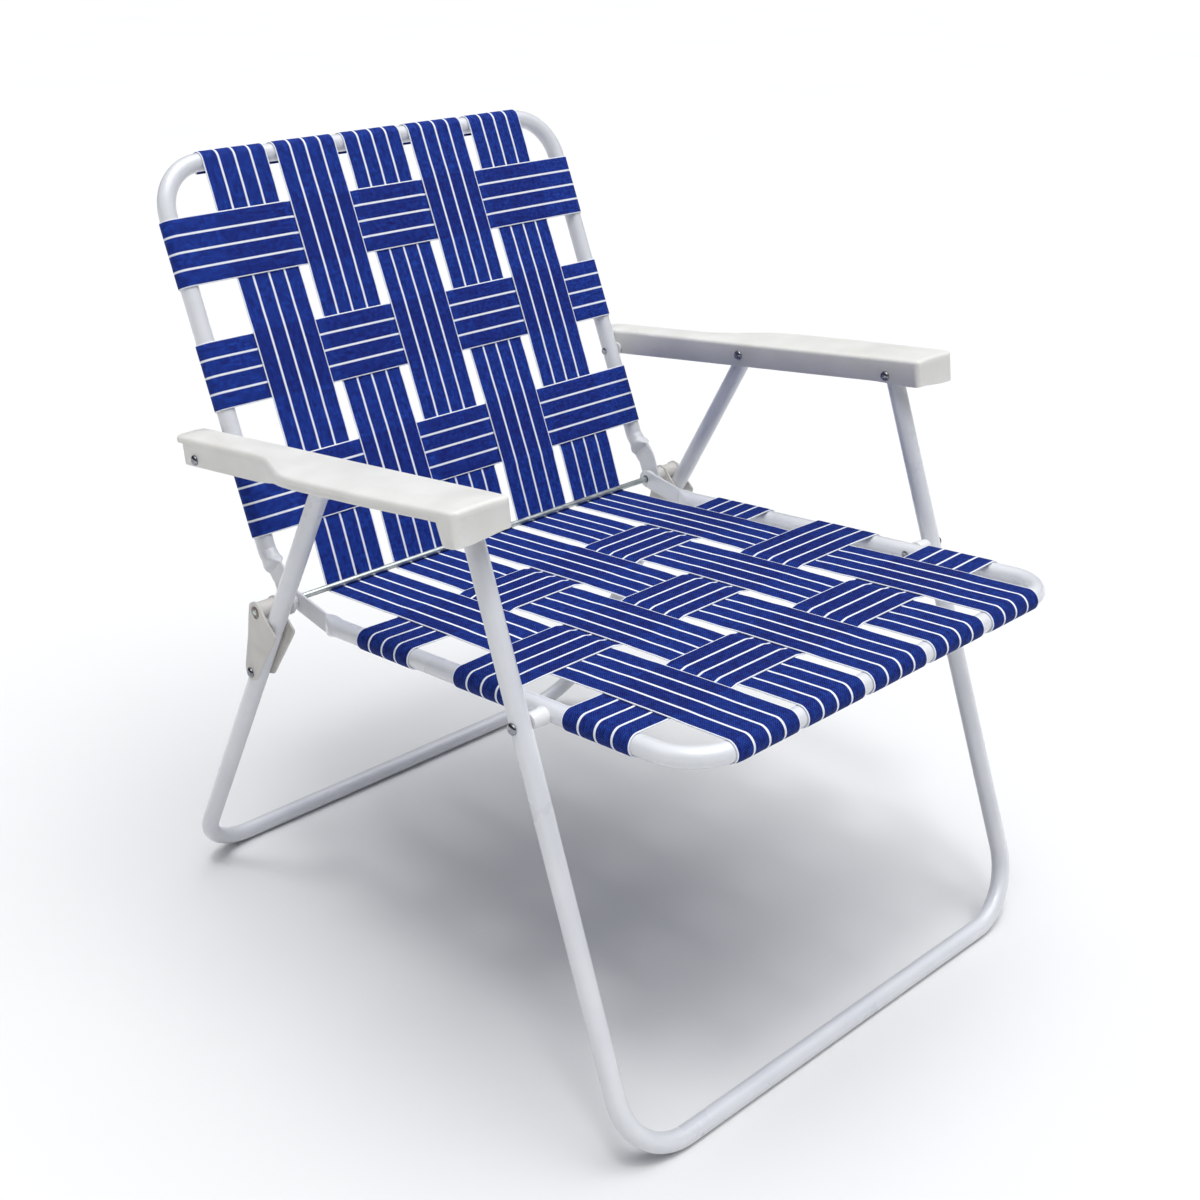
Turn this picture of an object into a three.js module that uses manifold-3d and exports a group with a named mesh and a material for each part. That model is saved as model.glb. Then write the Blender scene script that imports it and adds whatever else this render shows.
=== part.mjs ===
// A folding lawn chair: four bent steel tubes, moulded armrests and a seat and back woven from
// wide webbing. It stands open, faces -Y, and the floor is z = 0. Millimetres, +Z up.
// Left is -X. Side-view places are measured back from the front floor bar, and up from the floor.
import * as THREE from "three";
import { mergeVertices } from "three/addons/utils/BufferGeometryUtils.js";
import Module from "manifold-3d";

const wasm = await Module();
wasm.setup();

// Clearance between pieces that touch, and the extra length of a cutting tool.
const gap = 0.3;
const overrun = 2;

// Tubes: diameter, wall, sides of the faceted round, and steps in a bend.
const tubeDiameter = 19;
const tubeWall = 1.2;
const tubeSides = 14;
const bendSteps = 5;
const roundSides = 12;

// Half width of the seat, to its tubes' centre lines, what stands between the frames beside it,
// and the frames' corner bends.
const seatHalfWidth = 254;
const hingeSpacerThickness = 5;
const armWasherThickness = 2.1;
const armLegClearance = 2.7;
const seatCornerRadius = 47;
const backCornerRadius = 52;
const legCornerRadius = 68;

// Side view of the open chair.
const rearFootBack = 718;
const hingeBack = 528;
const hingeHeight = 378.5;
const armRearAlong = 162.8;
const backTubeDrop = 11;
const seatTubeDrop = 14.5;
const backTopAlong = 456;
const armMiddleRise = 6.235;
const armFrontBack = 195.5;
const armFrontHeight = 572.5;
const seatPivotHeight = 397;
const bracketRivetDrop = 73.5;
const seatFrontAlong = 566;
const backLean = THREE.MathUtils.degToRad(22.3);
const frontLegOverhang = 9;
const rearLegOverhang = 4.6;

// Flattened tube ends at the hinge, measured from the hinge along the tube.
const tabThickness = 3.4;
const tabSlit = 1;
const seatTab = { width: 24, bendStart: 16, crimpStart: 60, bendEnd: 64, crimpEnd: 94 };
const backTab = { width: 27, bendStart: 20, crimpStart: 32, bendEnd: 55, crimpEnd: 43 };
const tabTipShares = [0.94, 0.75, 0.42];
const tabSquareness = 5;

// Hinge rod and what is threaded on it.
const rodDiameter = 6.4;
const hingeSpacerDiameter = 18;
const rodNutDiameter = 11.5;
const rodNutThickness = 1.2;
const rodStickOut = 0.8;

// Rivets: shank, domed head and upset tail.
const rivetShankDiameter = 5;
const rivetHeadDiameter = 11;
const rivetHeadHeight = 3.4;
const rivetTailDiameter = 8;
const rivetTailHeight = 1.6;
const rivetSides = 10;
const domeShares = [[0.35, 1], [0.72, 0.8], [0.95, 0.42], [1, 0]];

// Webbing.
const strapThickness = 1.2;
const longStrapWidth = 76.2;
const backCrossWidth = 70;
const seatCrossWidth = 82;
const longStrapPitch = 87.5;
const longStrapCount = 5;
const wrapAngle = THREE.MathUtils.degToRad(200);
const wrapSteps = 8;
const backRodWrapShare = 0.31;
const seatRodWrapSteps = 2;
const backRowDrops = [54.5, 182, 315];
const seatRowBacks = [115, 264.5, 412.5];
const rodTiltLength = 66;
// First strap of each cross row: 1 passes in front of it or over it, -1 behind it or under it.
const backRowFirst = [1, -1, 1];
const seatRowFirst = [-1, 1, -1];

// Moulded armrest.
const armWall = 2.6;
const armRearWidth = 37;
const armShoulderWidth = 69.5;
const armTopAbovePivots = 18.5;
const armRearRise = 3;
const armCrown = 2.2;
const armEdgeRound = 3.2;
const armInnerDepth = 25;
const armOuterDepth = 25.5;
const armFrontDepth = 26.5;
const armRearOverhang = 37;
const armFrontOverhang = 42;
const armApronRound = 7;
const armWasherDiameter = 16;
// Along the arm from its rear tip; outer edge from the rear width to the shoulder width; inner
// edge in from the inner face; depths of the outer and inner skirts.
const armShares = [
  [0, -0.3, 0.12, 0.18, 0.18],
  [0.008, -0.1, 0.03, 0.18, 0.18],
  [0.024, -0.01, 0, 0.18, 0.18],
  [0.032, 0, 0, 1, 1],
  [0.3, 0, 0, 1, 1],
  [0.345, 0.12, 0, 0.88, 1],
  [0.405, 0.5, 0, 0.62, 1],
  [0.465, 0.88, 0, 0.45, 1],
  [0.52, 1, 0, 0.4, 1],
  [0.75, 0.97, 0, 0.4, 1],
  [0.9, 0.86, 0, 0.4, 1],
  [0.985, 0.76, 0, 0.4, 1],
  [1, 0.62, 0.06, 0.4, 1],
];
const crownShares = [[0.25, 0.75], [0.5, 1], [0.75, 0.75]];

// Moulded bracket that ties the rear leg to the hinge rod.
const bracketWall = 2.6;
const bracketBossDiameter = 19;
const bossLegClearance = 1.76;
const bracketRecessDepth = 1.3;
const bracketRecessDiameter = 14;
// Outline in parts of the distance from the hinge to the rivet: towards the rivet, and forwards.
const bracketShares = [
  [-0.06, -0.15], [-0.15, -0.05], [-0.15, 0.06], [-0.06, 0.16], [0.02, 0.26], [0.07, 0.42],
  [0.12, 0.48], [0.19, 0.47], [0.43, 0.34], [0.92, 0.17], [1.06, 0.12], [1.12, 0.02],
  [1.1, -0.07], [1.02, -0.13], [0.92, -0.14], [0.45, -0.13], [0.12, -0.15],
];

// Spacer between the seat's rail and the front leg.
const seatSpacerDiameter = 17;
const seatSpacerLegDiameter = 15;

// Colours.
const paint = { color: 0xe9ecf1, roughness: 0.35, metalness: 0.1 };
const plastic = { color: 0xf0efe9, roughness: 0.45, metalness: 0 };
const whitePlastic = { color: 0xf6f6f4, roughness: 0.4, metalness: 0 };
const zinc = { color: 0xa9b0ad, roughness: 0.4, metalness: 0.8 };
const bright = { color: 0x9a9ca0, roughness: 0.2, metalness: 1 };
const webbing = { color: 0x1d2f86, roughness: 0.8, metalness: 0 };

// Derived sizes.
const tubeRadius = tubeDiameter / 2;
const rodRadius = rodDiameter / 2;
const shankRadius = rivetShankDiameter / 2;
const strapLift = tubeRadius + gap + strapThickness / 2;
const weaveStep = strapThickness + gap;
// A facet of each floor bar lies on the floor.
const footHeight = tubeRadius * Math.cos(Math.PI / tubeSides);
// From the middle outwards: seat tab, spacer, back tab; back tube, washer, armrest, leg.
const backHalfWidth = seatHalfWidth + tabThickness + hingeSpacerThickness + 2 * gap;
const armInnerX = backHalfWidth + tubeRadius + armWasherThickness + 2 * gap;
const legHalfWidth = armInnerX + armWall + armLegClearance + tubeRadius;

const chair = new THREE.Group();
const unitX = new THREE.Vector3(1, 0, 0);

// A side-view frame: an origin, a direction along the piece and a normal in the Y-Z plane.
function sideFrame(y, z, alongY, alongZ, flip = 1) {
  const along = new THREE.Vector3(0, alongY, alongZ).normalize();
  const normal = unitX.clone().cross(along).multiplyScalar(flip);
  return { origin: new THREE.Vector3(0, y, z), along, normal };
}

function place(frame, x, along, offset) {
  const point = frame.origin.clone().addScaledVector(unitX, x);
  return point.addScaledVector(frame.along, along).addScaledVector(frame.normal, offset);
}

function inFrame(frame, point) {
  const away = point.clone().sub(frame.origin);
  return { along: away.dot(frame.along), offset: away.dot(frame.normal) };
}

// Normals point forwards on the back and the legs, and upwards on the seat and the arms.
const hinge = new THREE.Vector3(0, hingeBack, hingeHeight);
const backSide = sideFrame(hinge.y, hinge.z, Math.sin(backLean), Math.cos(backLean));
const armRear = place(backSide, 0, armRearAlong, -backTubeDrop);
const armFront = new THREE.Vector3(0, armFrontBack, armFrontHeight);
const armSide = sideFrame(armRear.y, armRear.z, armFront.y - armRear.y, armFront.z - armRear.z, -1);
const frontLegSide = sideFrame(0, footHeight, armFront.y, armFront.z - footHeight);

// The rear leg runs from its foot past the bracket's boss on the hinge, up to the armrest.
const rearFoot = new THREE.Vector3(0, rearFootBack, footHeight);
const legHingeDistance = tubeRadius + bracketBossDiameter / 2 + bossLegClearance;
const rearLean =
  Math.atan2(rearFoot.y - hinge.y, hinge.z - rearFoot.z) + Math.asin(legHingeDistance / rearFoot.distanceTo(hinge));
const rearLegSide = sideFrame(rearFoot.y, rearFoot.z, -Math.sin(rearLean), Math.cos(rearLean));
const rearClimb = rearLegSide.along.dot(armSide.normal);
const rearLegReach = (armMiddleRise - inFrame(armSide, rearFoot).offset) / rearClimb;
const armMiddle = place(rearLegSide, 0, rearLegReach, 0);

// The point of a leg's centre line at a height above the floor.
function onLeg(leg, height) {
  return place(leg, 0, (height - leg.origin.z) / leg.along.z, 0);
}

const seatPivot = onLeg(frontLegSide, seatPivotHeight);
const bracketRivet = onLeg(rearLegSide, hingeHeight - bracketRivetDrop);
// The seat's tubes pass below the hinge and through the seat pivot.
const seatReach = Math.hypot(hinge.y - seatPivot.y, seatPivot.z - hinge.z);
const seatRise = Math.atan2(seatPivot.z - hinge.z, hinge.y - seatPivot.y) + Math.asin(seatTubeDrop / seatReach);
const seatSide = sideFrame(hinge.y, hinge.z, -Math.cos(seatRise), Math.sin(seatRise), -1);

// A closed mesh whose faces point outwards.
function facingOut(points, index) {
  let volume = 0;
  for (let i = 0; i < index.length; i += 3) {
    const [a, b, c] = [points[index[i]], points[index[i + 1]], points[index[i + 2]]];
    volume += a.dot(b.clone().cross(c));
  }
  const order = [...index];
  if (volume < 0) {
    for (let i = 0; i < order.length; i += 3) {
      [order[i + 1], order[i + 2]] = [order[i + 2], order[i + 1]];
    }
  }
  const geometry = new THREE.BufferGeometry();
  geometry.setFromPoints(points);
  geometry.setIndex(order);
  geometry.computeVertexNormals();
  return geometry;
}

// Triangles that close a flat ring, in the ring's own turning sense.
function capTriangles(ring) {
  const normal = new THREE.Vector3();
  ring.forEach((p, i) => {
    const q = ring[(i + 1) % ring.length];
    normal.add(p.clone().sub(ring[0]).cross(q.clone().sub(ring[0])));
  });
  normal.normalize();
  const axis = Math.abs(normal.x) > Math.abs(normal.y) ? new THREE.Vector3(0, 1, 0) : unitX;
  const u = axis.clone().cross(normal).normalize();
  const v = normal.clone().cross(u);
  const flat = ring.map((p) => new THREE.Vector2(p.dot(u), p.dot(v)));
  return THREE.ShapeUtils.triangulateShape(flat, []).map(([a, b, c]) => {
    const ab = flat[b].clone().sub(flat[a]);
    const ac = flat[c].clone().sub(flat[a]);
    return ab.cross(ac) > 0 ? [a, b, c] : [a, c, b];
  });
}

// A skin over rings of points. A looped skin joins its last ring to its first.
function skin(rings, looped) {
  const count = rings[0].length;
  const index = [];
  for (let k = 0; k < (looped ? rings.length : rings.length - 1); k += 1) {
    const a = k * count;
    const b = ((k + 1) % rings.length) * count;
    for (let i = 0; i < count; i += 1) {
      const j = (i + 1) % count;
      index.push(a + i, a + j, b + j, a + i, b + j, b + i);
    }
  }
  if (!looped) {
    const end = (rings.length - 1) * count;
    capTriangles(rings[0]).forEach(([a, b, c]) => index.push(a, c, b));
    capTriangles(rings[rings.length - 1]).forEach(([a, b, c]) => index.push(end + a, end + b, end + c));
  }
  return facingOut(rings.flat(), index);
}

function toSolid(geometry) {
  const plain = geometry.clone();
  plain.deleteAttribute("normal");
  plain.deleteAttribute("uv");
  const merged = mergeVertices(plain);
  return new wasm.Manifold(
    new wasm.Mesh({
      numProp: 3,
      vertProperties: new Float32Array(merged.attributes.position.array),
      triVerts: new Uint32Array(merged.index.array),
    }),
  );
}

function toGeometry(solid) {
  const mesh = solid.getMesh();
  const geometry = new THREE.BufferGeometry();
  geometry.setAttribute("position", new THREE.BufferAttribute(mesh.vertProperties, 3));
  geometry.setIndex(new THREE.BufferAttribute(mesh.triVerts, 1));
  geometry.computeVertexNormals();
  return geometry;
}

function cut(geometry, ...tools) {
  return toGeometry(tools.reduce((solid, tool) => solid.subtract(toSolid(tool)), toSolid(geometry)));
}

function join(geometry, ...pieces) {
  return toGeometry(pieces.reduce((solid, piece) => solid.add(toSolid(piece)), toSolid(geometry)));
}

function addMesh(name, geometry, look) {
  const mesh = new THREE.Mesh(geometry, new THREE.MeshStandardMaterial(look));
  mesh.name = name;
  chair.add(mesh);
}

// A right-hand piece and its mirror image.
function addPair(name, geometry, look) {
  const points = [];
  const position = geometry.attributes.position;
  for (let i = 0; i < position.count; i += 1) {
    points.push(new THREE.Vector3(-position.getX(i), position.getY(i), position.getZ(i)));
  }
  addMesh(name + "_left", facingOut(points, geometry.index.array), look);
  addMesh(name + "_right", geometry, look);
}

// A ring of points round the X axis through a side-view point.
function roundRing(centre, x, radius, sides) {
  return Array.from({ length: sides }, (_, i) => {
    const angle = ((i + 1 / 2) / sides) * Math.PI * 2;
    return new THREE.Vector3(x, centre.y + radius * Math.cos(angle), centre.z + radius * Math.sin(angle));
  });
}

// A turned piece on the X axis from a profile of [x, radius]; a looped profile has a bore.
function turned(centre, profile, looped, sides) {
  return skin(profile.map(([x, radius]) => roundRing(centre, x, radius, sides)), looped);
}

function pin(centre, x0, x1, diameter, sides = roundSides) {
  return turned(centre, [[x0, diameter / 2], [x1, diameter / 2]], false, sides);
}

// A washer or spacer whose bore clears what passes through it.
function sleeve(centre, x0, x1, diameter0, diameter1, inside) {
  const bore = inside / 2 + gap;
  return turned(centre, [[x0, diameter0 / 2], [x1, diameter1 / 2], [x1, bore], [x0, bore]], true, roundSides);
}

const hingeBore = () => pin(hinge, -legHalfWidth * 2, legHalfWidth * 2, rodDiameter + 2 * gap);
const shankBore = (centre) => pin(centre, -legHalfWidth * 2, legHalfWidth * 2, rivetShankDiameter + 2 * gap);

// Rivet profiles. The head stands on the surface at x and points to sign.
const headProfile = (x, sign) =>
  domeShares.map(([r, h]) => [x + sign * (gap + h * rivetHeadHeight), (r * rivetHeadDiameter) / 2]);
const tailProfile = (x, sign) => [
  [x + sign * gap, rivetTailDiameter / 2],
  [x + sign * (gap + rivetTailHeight), rivetTailDiameter / 2],
];

function rivet(centre, headX, tailX) {
  const sign = Math.sign(headX - tailX);
  const head = headProfile(headX, sign);
  const tail = tailProfile(tailX, -sign);
  const shank = [[head[head.length - 1][0], shankRadius], [tail[0][0], shankRadius]];
  return turned(centre, [...head, ...shank, ...tail], false, rivetSides);
}

// Half of a rivet that an opened pivot divides: a head or a tail, and a shank as far as endX.
function rivetHead(centre, headX, endX) {
  const sign = Math.sign(headX - endX);
  const head = headProfile(headX, sign);
  return turned(centre, [...head, [head[head.length - 1][0], shankRadius], [endX, shankRadius]], false, rivetSides);
}

function rivetTail(centre, tailX, endX) {
  const tail = tailProfile(tailX, Math.sign(tailX - endX));
  return turned(centre, [[endX, shankRadius], [tail[0][0], shankRadius], ...tail], false, rivetSides);
}

// A tube station: centre (x, along, offset), the section's axes, its half sizes and squareness.
function stationRing(frame, station, turn, inset) {
  return Array.from({ length: tubeSides }, (_, i) => {
    const angle = ((i + 1 / 2) / tubeSides) * Math.PI * 2 + turn;
    const bow = (v) => Math.sign(v) * Math.abs(v) ** (2 / station.squareness);
    const side = Math.max(station.side - inset, inset ? tabSlit / 2 : 0) * bow(Math.cos(angle));
    const rise = (station.rise - inset) * bow(Math.sin(angle));
    const at = station.centre.map((c, k) => c + side * station.sideAxis[k] + rise * station.riseAxis[k]);
    return place(frame, ...at);
  });
}

// Outer rings go from end to end, and the bore's rings come back.
function hollowTube(frame, half, turn) {
  const mirror = ([x, along, offset]) => [-x, along, offset];
  const other = half.map((s) => ({ ...s, centre: mirror(s.centre), sideAxis: mirror(s.sideAxis) }));
  const stations = [...half, ...other.reverse()];
  const outer = stations.map((station) => stationRing(frame, station, turn, 0));
  const bore = stations.map((station) => stationRing(frame, station, turn, tubeWall));
  return skin([...outer, ...bore.reverse()], true);
}

function roundStation(x, along, offset, tangent) {
  return {
    centre: [x, along, offset],
    sideAxis: [-tangent[1], tangent[0], 0],
    riseAxis: [0, 0, 1],
    side: tubeRadius,
    rise: tubeRadius,
    squareness: 2,
  };
}

// The right-hand corner of a U frame. The bar lies at barAlong, above the legs or below them.
function cornerStations(halfWidth, radius, barAlong, offset, up) {
  return Array.from({ length: bendSteps + 1 }, (_, i) => {
    const angle = ((i / bendSteps) * Math.PI) / 2;
    const x = halfWidth - radius + radius * Math.cos(angle);
    const along = barAlong - up * radius * (1 - Math.sin(angle));
    return roundStation(x, along, offset, [-Math.sin(angle), up * Math.cos(angle)]);
  });
}

// The flattened end of a right-hand leg: its rounded tip round the hinge, its bend and its crimp.
function tabStations(tab, x, drop) {
  const half = tab.width / 2;
  const ramp = (value, start, end) => THREE.MathUtils.clamp((value - start) / (end - start), 0, 1);
  const station = (along, shrink) => {
    const crimp = ramp(along, tab.crimpStart, tab.crimpEnd);
    const bent = along > tab.bendStart && along < tab.bendEnd ? 1 : 0;
    const atEdge = along === tab.bendStart || along === tab.bendEnd ? 1 / 2 : 0;
    const slope = (drop / (tab.bendEnd - tab.bendStart)) * (bent + atEdge);
    return {
      centre: [x, along, -drop * ramp(along, tab.bendStart, tab.bendEnd)],
      sideAxis: [-1, 0, 0],
      riseAxis: [0, slope, 1],
      side: THREE.MathUtils.lerp(tabThickness / 2, tubeRadius, crimp),
      rise: THREE.MathUtils.lerp(half, tubeRadius, crimp) * shrink,
      squareness: THREE.MathUtils.lerp(tabSquareness, 2, crimp),
    };
  };
  const tip = tabTipShares.map((share) => station(-half * share, Math.sqrt(1 - share * share)));
  const rest = [0, tab.bendStart, tab.crimpStart, tab.bendEnd, tab.crimpEnd].sort((a, b) => a - b);
  return [...tip, ...rest.map((along) => station(along, 1))];
}

// Straps. A path is a list of [p, n] along the strap; the ring is as wide as the strap.
function band(toPoint, path, w0, w1) {
  const half = strapThickness / 2;
  const rings = path.map((point, i) => {
    const before = new THREE.Vector2(...point).sub(new THREE.Vector2(...path[Math.max(i - 1, 0)]));
    const after = new THREE.Vector2(...path[Math.min(i + 1, path.length - 1)]).sub(new THREE.Vector2(...point));
    const d0 = (i === 0 ? after : before).clone().normalize();
    const d1 = (i === path.length - 1 ? before : after).clone().normalize();
    const mean = d0.add(d1).normalize();
    const stretch = half / Math.max(mean.dot(d1), 1 / 2);
    const [np, nn] = [-mean.y * stretch, mean.x * stretch];
    return [[w0, -1], [w1, -1], [w1, 1], [w0, 1]].map(([w, side]) =>
      toPoint(point[0] + side * np, point[1] + side * nn, w),
    );
  });
  return skin(rings, false);
}

// Corners of a many-sided wrap that stays outside a circle. It leaves the tangent point at angle 0,
// whose direction is out, and turns towards on.
function wrapPath(centre, radius, out, on, steps, step) {
  const at = (angle, r) => [0, 1].map((k) => centre[k] + r * (out[k] * Math.cos(angle) + on[k] * Math.sin(angle)));
  const path = Array.from({ length: steps }, (_, k) => at((k + 1 / 2) * step, radius / Math.cos(step / 2)));
  path.push(at(steps * step, radius));
  return path;
}

const wrapStep = wrapAngle / wrapSteps;
const barWrap = (centre) => wrapPath(centre, strapLift, [0, 1], [1, 0], wrapSteps, wrapStep);
const rodWrapRadius = rodRadius + gap + strapThickness / 2;
// The seat's and the back's straps meet behind the rod, where each stops half a gap short.
const rodWrapTotal = Math.PI / 2 - backLean + seatRise;
const rodWrapStop = gap / 2 / rodRadius;
const backRodWrap = rodWrapTotal * backRodWrapShare - rodWrapStop;
const seatRodWrap = rodWrapTotal * (1 - backRodWrapShare) - rodWrapStop;
const rodWrap = (angle, steps) => wrapPath([0, 0], rodWrapRadius, [0, -1], [-1, 0], steps, angle / steps);

// Level of the straps' middle plane, from the hinge.
const backLevel = strapLift - backTubeDrop;
const seatLevel = strapLift - seatTubeDrop;
const backLongPath = [
  ...barWrap([backTopAlong, -backTubeDrop]).reverse(),
  [rodTiltLength, backLevel],
  ...rodWrap(backRodWrap, 1),
];
const seatLongPath = [
  ...barWrap([seatFrontAlong, -seatTubeDrop]).reverse(),
  [rodTiltLength, seatLevel],
  ...rodWrap(seatRodWrap, seatRodWrapSteps),
];

const strapX = (i) => (i - (longStrapCount - 1) / 2) * longStrapPitch;

function addLongStraps(name, frame, path) {
  for (let i = 0; i < longStrapCount; i += 1) {
    const geometry = band((p, n, w) => place(frame, w, p, n), path, strapX(i) - longStrapWidth / 2, strapX(i) + longStrapWidth / 2);
    addMesh(name + "_" + (i + 1), geometry, webbing);
  }
}

// A cross strap weaves over and under the long straps and wraps round both side tubes.
function crossPath(halfWidth, drop, level, first) {
  const left = wrapPath([-halfWidth, -drop], strapLift, [0, 1], [-1, 0], wrapSteps, wrapStep).reverse();
  const right = wrapPath([halfWidth, -drop], strapLift, [0, 1], [1, 0], wrapSteps, wrapStep);
  const path = [...left, [-halfWidth, level]];
  const reach = longStrapWidth / 2 + gap;
  for (let i = 0; i < longStrapCount; i += 1) {
    const height = level + first * (i % 2 ? -1 : 1) * weaveStep;
    path.push([strapX(i) - reach, height], [strapX(i) + reach, height]);
  }
  return [...path, [halfWidth, level], ...right];
}

function addCrossStraps(name, frame, halfWidth, drop, level, starts, width, firsts) {
  starts.forEach((start, i) => {
    const path = crossPath(halfWidth, drop, level, firsts[i]);
    const geometry = band((p, n, w) => place(frame, p, w, n), path, start, start + width);
    addMesh(name + "_" + (i + 1), geometry, webbing);
  });
}

// Back: frame, webbing, and the hinge rod that it carries.
const backFrame = cut(
  hollowTube(
    backSide,
    [
      ...tabStations(backTab, backHalfWidth, backTubeDrop),
      ...cornerStations(backHalfWidth, backCornerRadius, backTopAlong, -backTubeDrop, 1),
    ],
    0,
  ),
  hingeBore(),
  shankBore(armRear),
);
addMesh("back_frame", backFrame, paint);
addLongStraps("back_strap", backSide, backLongPath);
const backRowStarts = backRowDrops.map((drop) => backTopAlong - drop - backCrossWidth);
addCrossStraps(
  "back_cross_strap",
  backSide,
  backHalfWidth,
  backTubeDrop,
  backLevel,
  backRowStarts,
  backCrossWidth,
  backRowFirst,
);

// The bracket's plates stand either side of the leg.
const legInnerX = legHalfWidth - tubeRadius;
const legOuterX = legHalfWidth + tubeRadius;
const bracketInnerX = legInnerX - gap - bracketWall;
const bracketOuterX = legOuterX + gap + bracketWall;
const recessFloorX = bracketOuterX - bracketRecessDepth;
const rodEndX = recessFloorX + gap + rodNutThickness + rodStickOut;
addMesh("hinge_rod", pin(hinge, -rodEndX, rodEndX, rodDiameter), zinc);
const seatTabFaceX = seatHalfWidth + tabThickness / 2;
const backTabFaceX = backHalfWidth - tabThickness / 2;
addPair(
  "hinge_spacer",
  sleeve(hinge, seatTabFaceX + gap, backTabFaceX - gap, hingeSpacerDiameter, hingeSpacerDiameter, rodDiameter),
  whitePlastic,
);
const nutX = recessFloorX + gap;
addPair("push_nut", sleeve(hinge, nutX, nutX + rodNutThickness, rodNutDiameter, rodNutDiameter, rodDiameter), zinc);

// Seat: frame, webbing, pivot spacers and the inner halves of the pivot rivets.
const seatFrame = cut(
  hollowTube(
    seatSide,
    [
      ...tabStations(seatTab, seatHalfWidth, seatTubeDrop),
      ...cornerStations(seatHalfWidth, seatCornerRadius, seatFrontAlong, -seatTubeDrop, 1),
    ],
    0,
  ),
  hingeBore(),
  shankBore(seatPivot),
);
addMesh("seat_frame", seatFrame, paint);
addLongStraps("seat_strap", seatSide, seatLongPath);
addCrossStraps(
  "seat_cross_strap",
  seatSide,
  seatHalfWidth,
  seatTubeDrop,
  seatLevel,
  seatRowBacks,
  seatCrossWidth,
  seatRowFirst,
);
const railInnerX = seatHalfWidth - tubeRadius;
const railOuterX = seatHalfWidth + tubeRadius;
addPair(
  "seat_pivot_spacer",
  sleeve(seatPivot, railOuterX + gap, legInnerX - gap, seatSpacerDiameter, seatSpacerLegDiameter, rivetShankDiameter),
  whitePlastic,
);
addPair("seat_pivot_rivet", rivetTail(seatPivot, railInnerX, legInnerX - gap), bright);

// Armrests.
const armLength = inFrame(armSide, armFront).along + armRearOverhang + armFrontOverhang;

function armRing([alongShare, outerShare, innerShare, outerDepthShare, innerDepthShare]) {
  const along = armLength * alongShare - armRearOverhang;
  const inner = armInnerX + innerShare * armRearWidth;
  const outer = armInnerX + armRearWidth + outerShare * (armShoulderWidth - armRearWidth);
  const rise = armRearRise * (1 - alongShare);
  const top = armTopAbovePivots + rise;
  const innerBottom = top - (armInnerDepth + rise) * innerDepthShare;
  const outerBottom = top - (armOuterDepth + rise) * outerDepthShare;
  const round = armEdgeRound;
  const crown = (share) => inner + share * (outer - inner);
  const section = [
    [inner, innerBottom],
    [inner, top - round],
    [inner + 0.3 * round, top - 0.3 * round],
    [inner + round, top],
    ...crownShares.map(([share, height]) => [crown(share), top + height * armCrown]),
    [outer - round, top],
    [outer - 0.3 * round, top - 0.3 * round],
    [outer, top - round],
    [outer, outerBottom],
    [outer - armWall, outerBottom],
    [outer - armWall, top - armWall],
    ...[...crownShares].reverse().map(([share, height]) => [crown(share), top + height * armCrown - armWall]),
    [inner + armWall, top - armWall],
    [inner + armWall, innerBottom],
  ];
  return section.map(([x, offset]) => place(armSide, x, along, offset));
}

// The apron closes the front of the arm.
function armApron() {
  const end = armLength - armRearOverhang;
  const outer = armInnerX + armRearWidth + armShares[11][1] * (armShoulderWidth - armRearWidth);
  const bottom = armTopAbovePivots - armFrontDepth;
  const round = armApronRound;
  const outline = [
    [armInnerX, armTopAbovePivots - armEdgeRound],
    [armInnerX, bottom + round],
    [armInnerX + 0.3 * round, bottom + 0.3 * round],
    [armInnerX + round, bottom],
    [outer - round, bottom],
    [outer - 0.3 * round, bottom + 0.3 * round],
    [outer, bottom + round],
    [outer, armTopAbovePivots - armEdgeRound],
  ];
  const ringAt = (along) => outline.map(([x, offset]) => place(armSide, x, along, offset));
  return skin([ringAt(end - armWall), ringAt(end)], false);
}

addPair(
  "armrest",
  cut(join(skin(armShares.map(armRing), false), armApron()), shankBore(armRear), shankBore(armMiddle), shankBore(armFront)),
  plastic,
);
const backOuterX = backHalfWidth + tubeRadius;
const armOuterX = armInnerX + armRearWidth;
addPair("arm_rear_rivet", rivet(armRear, armOuterX, backHalfWidth - tubeRadius), bright);
addPair("arm_middle_rivet", rivet(armMiddle, armInnerX, legOuterX), bright);
addPair("arm_front_rivet", rivet(armFront, armInnerX, legOuterX), bright);
addPair(
  "arm_rear_washer",
  sleeve(armRear, backOuterX + gap, armInnerX - gap, armWasherDiameter, armWasherDiameter, rivetShankDiameter),
  whitePlastic,
);

// Legs, with the outer halves of the seat pivot rivets. The floor bar's facet lies flat.
function legFrame(side, length, bores) {
  const turn = Math.atan2(-side.normal.z, side.along.z) - Math.PI / 2 - Math.PI / 2;
  const stations = [
    roundStation(legHalfWidth, length, 0, [0, -1]),
    ...cornerStations(legHalfWidth, legCornerRadius, 0, 0, -1),
  ];
  return cut(hollowTube(side, stations, turn), ...bores);
}

const frontLegLength = inFrame(frontLegSide, armFront).along + frontLegOverhang;
const rearLegLength = inFrame(rearLegSide, armMiddle).along + rearLegOverhang;
addMesh("front_leg", legFrame(frontLegSide, frontLegLength, [shankBore(armFront), shankBore(seatPivot)]), paint);
addPair("leg_pivot_rivet", rivetHead(seatPivot, legOuterX, legInnerX), bright);
addMesh("rear_leg", legFrame(rearLegSide, rearLegLength, [shankBore(armMiddle), shankBore(bracketRivet)]), paint);

// Brackets between the rear leg and the hinge rod, with the halves of their rivets.
const reach = bracketRivet.clone().sub(hinge);
const bracketSide = sideFrame(hinge.y, hinge.z, reach.y, reach.z, -1);

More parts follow.
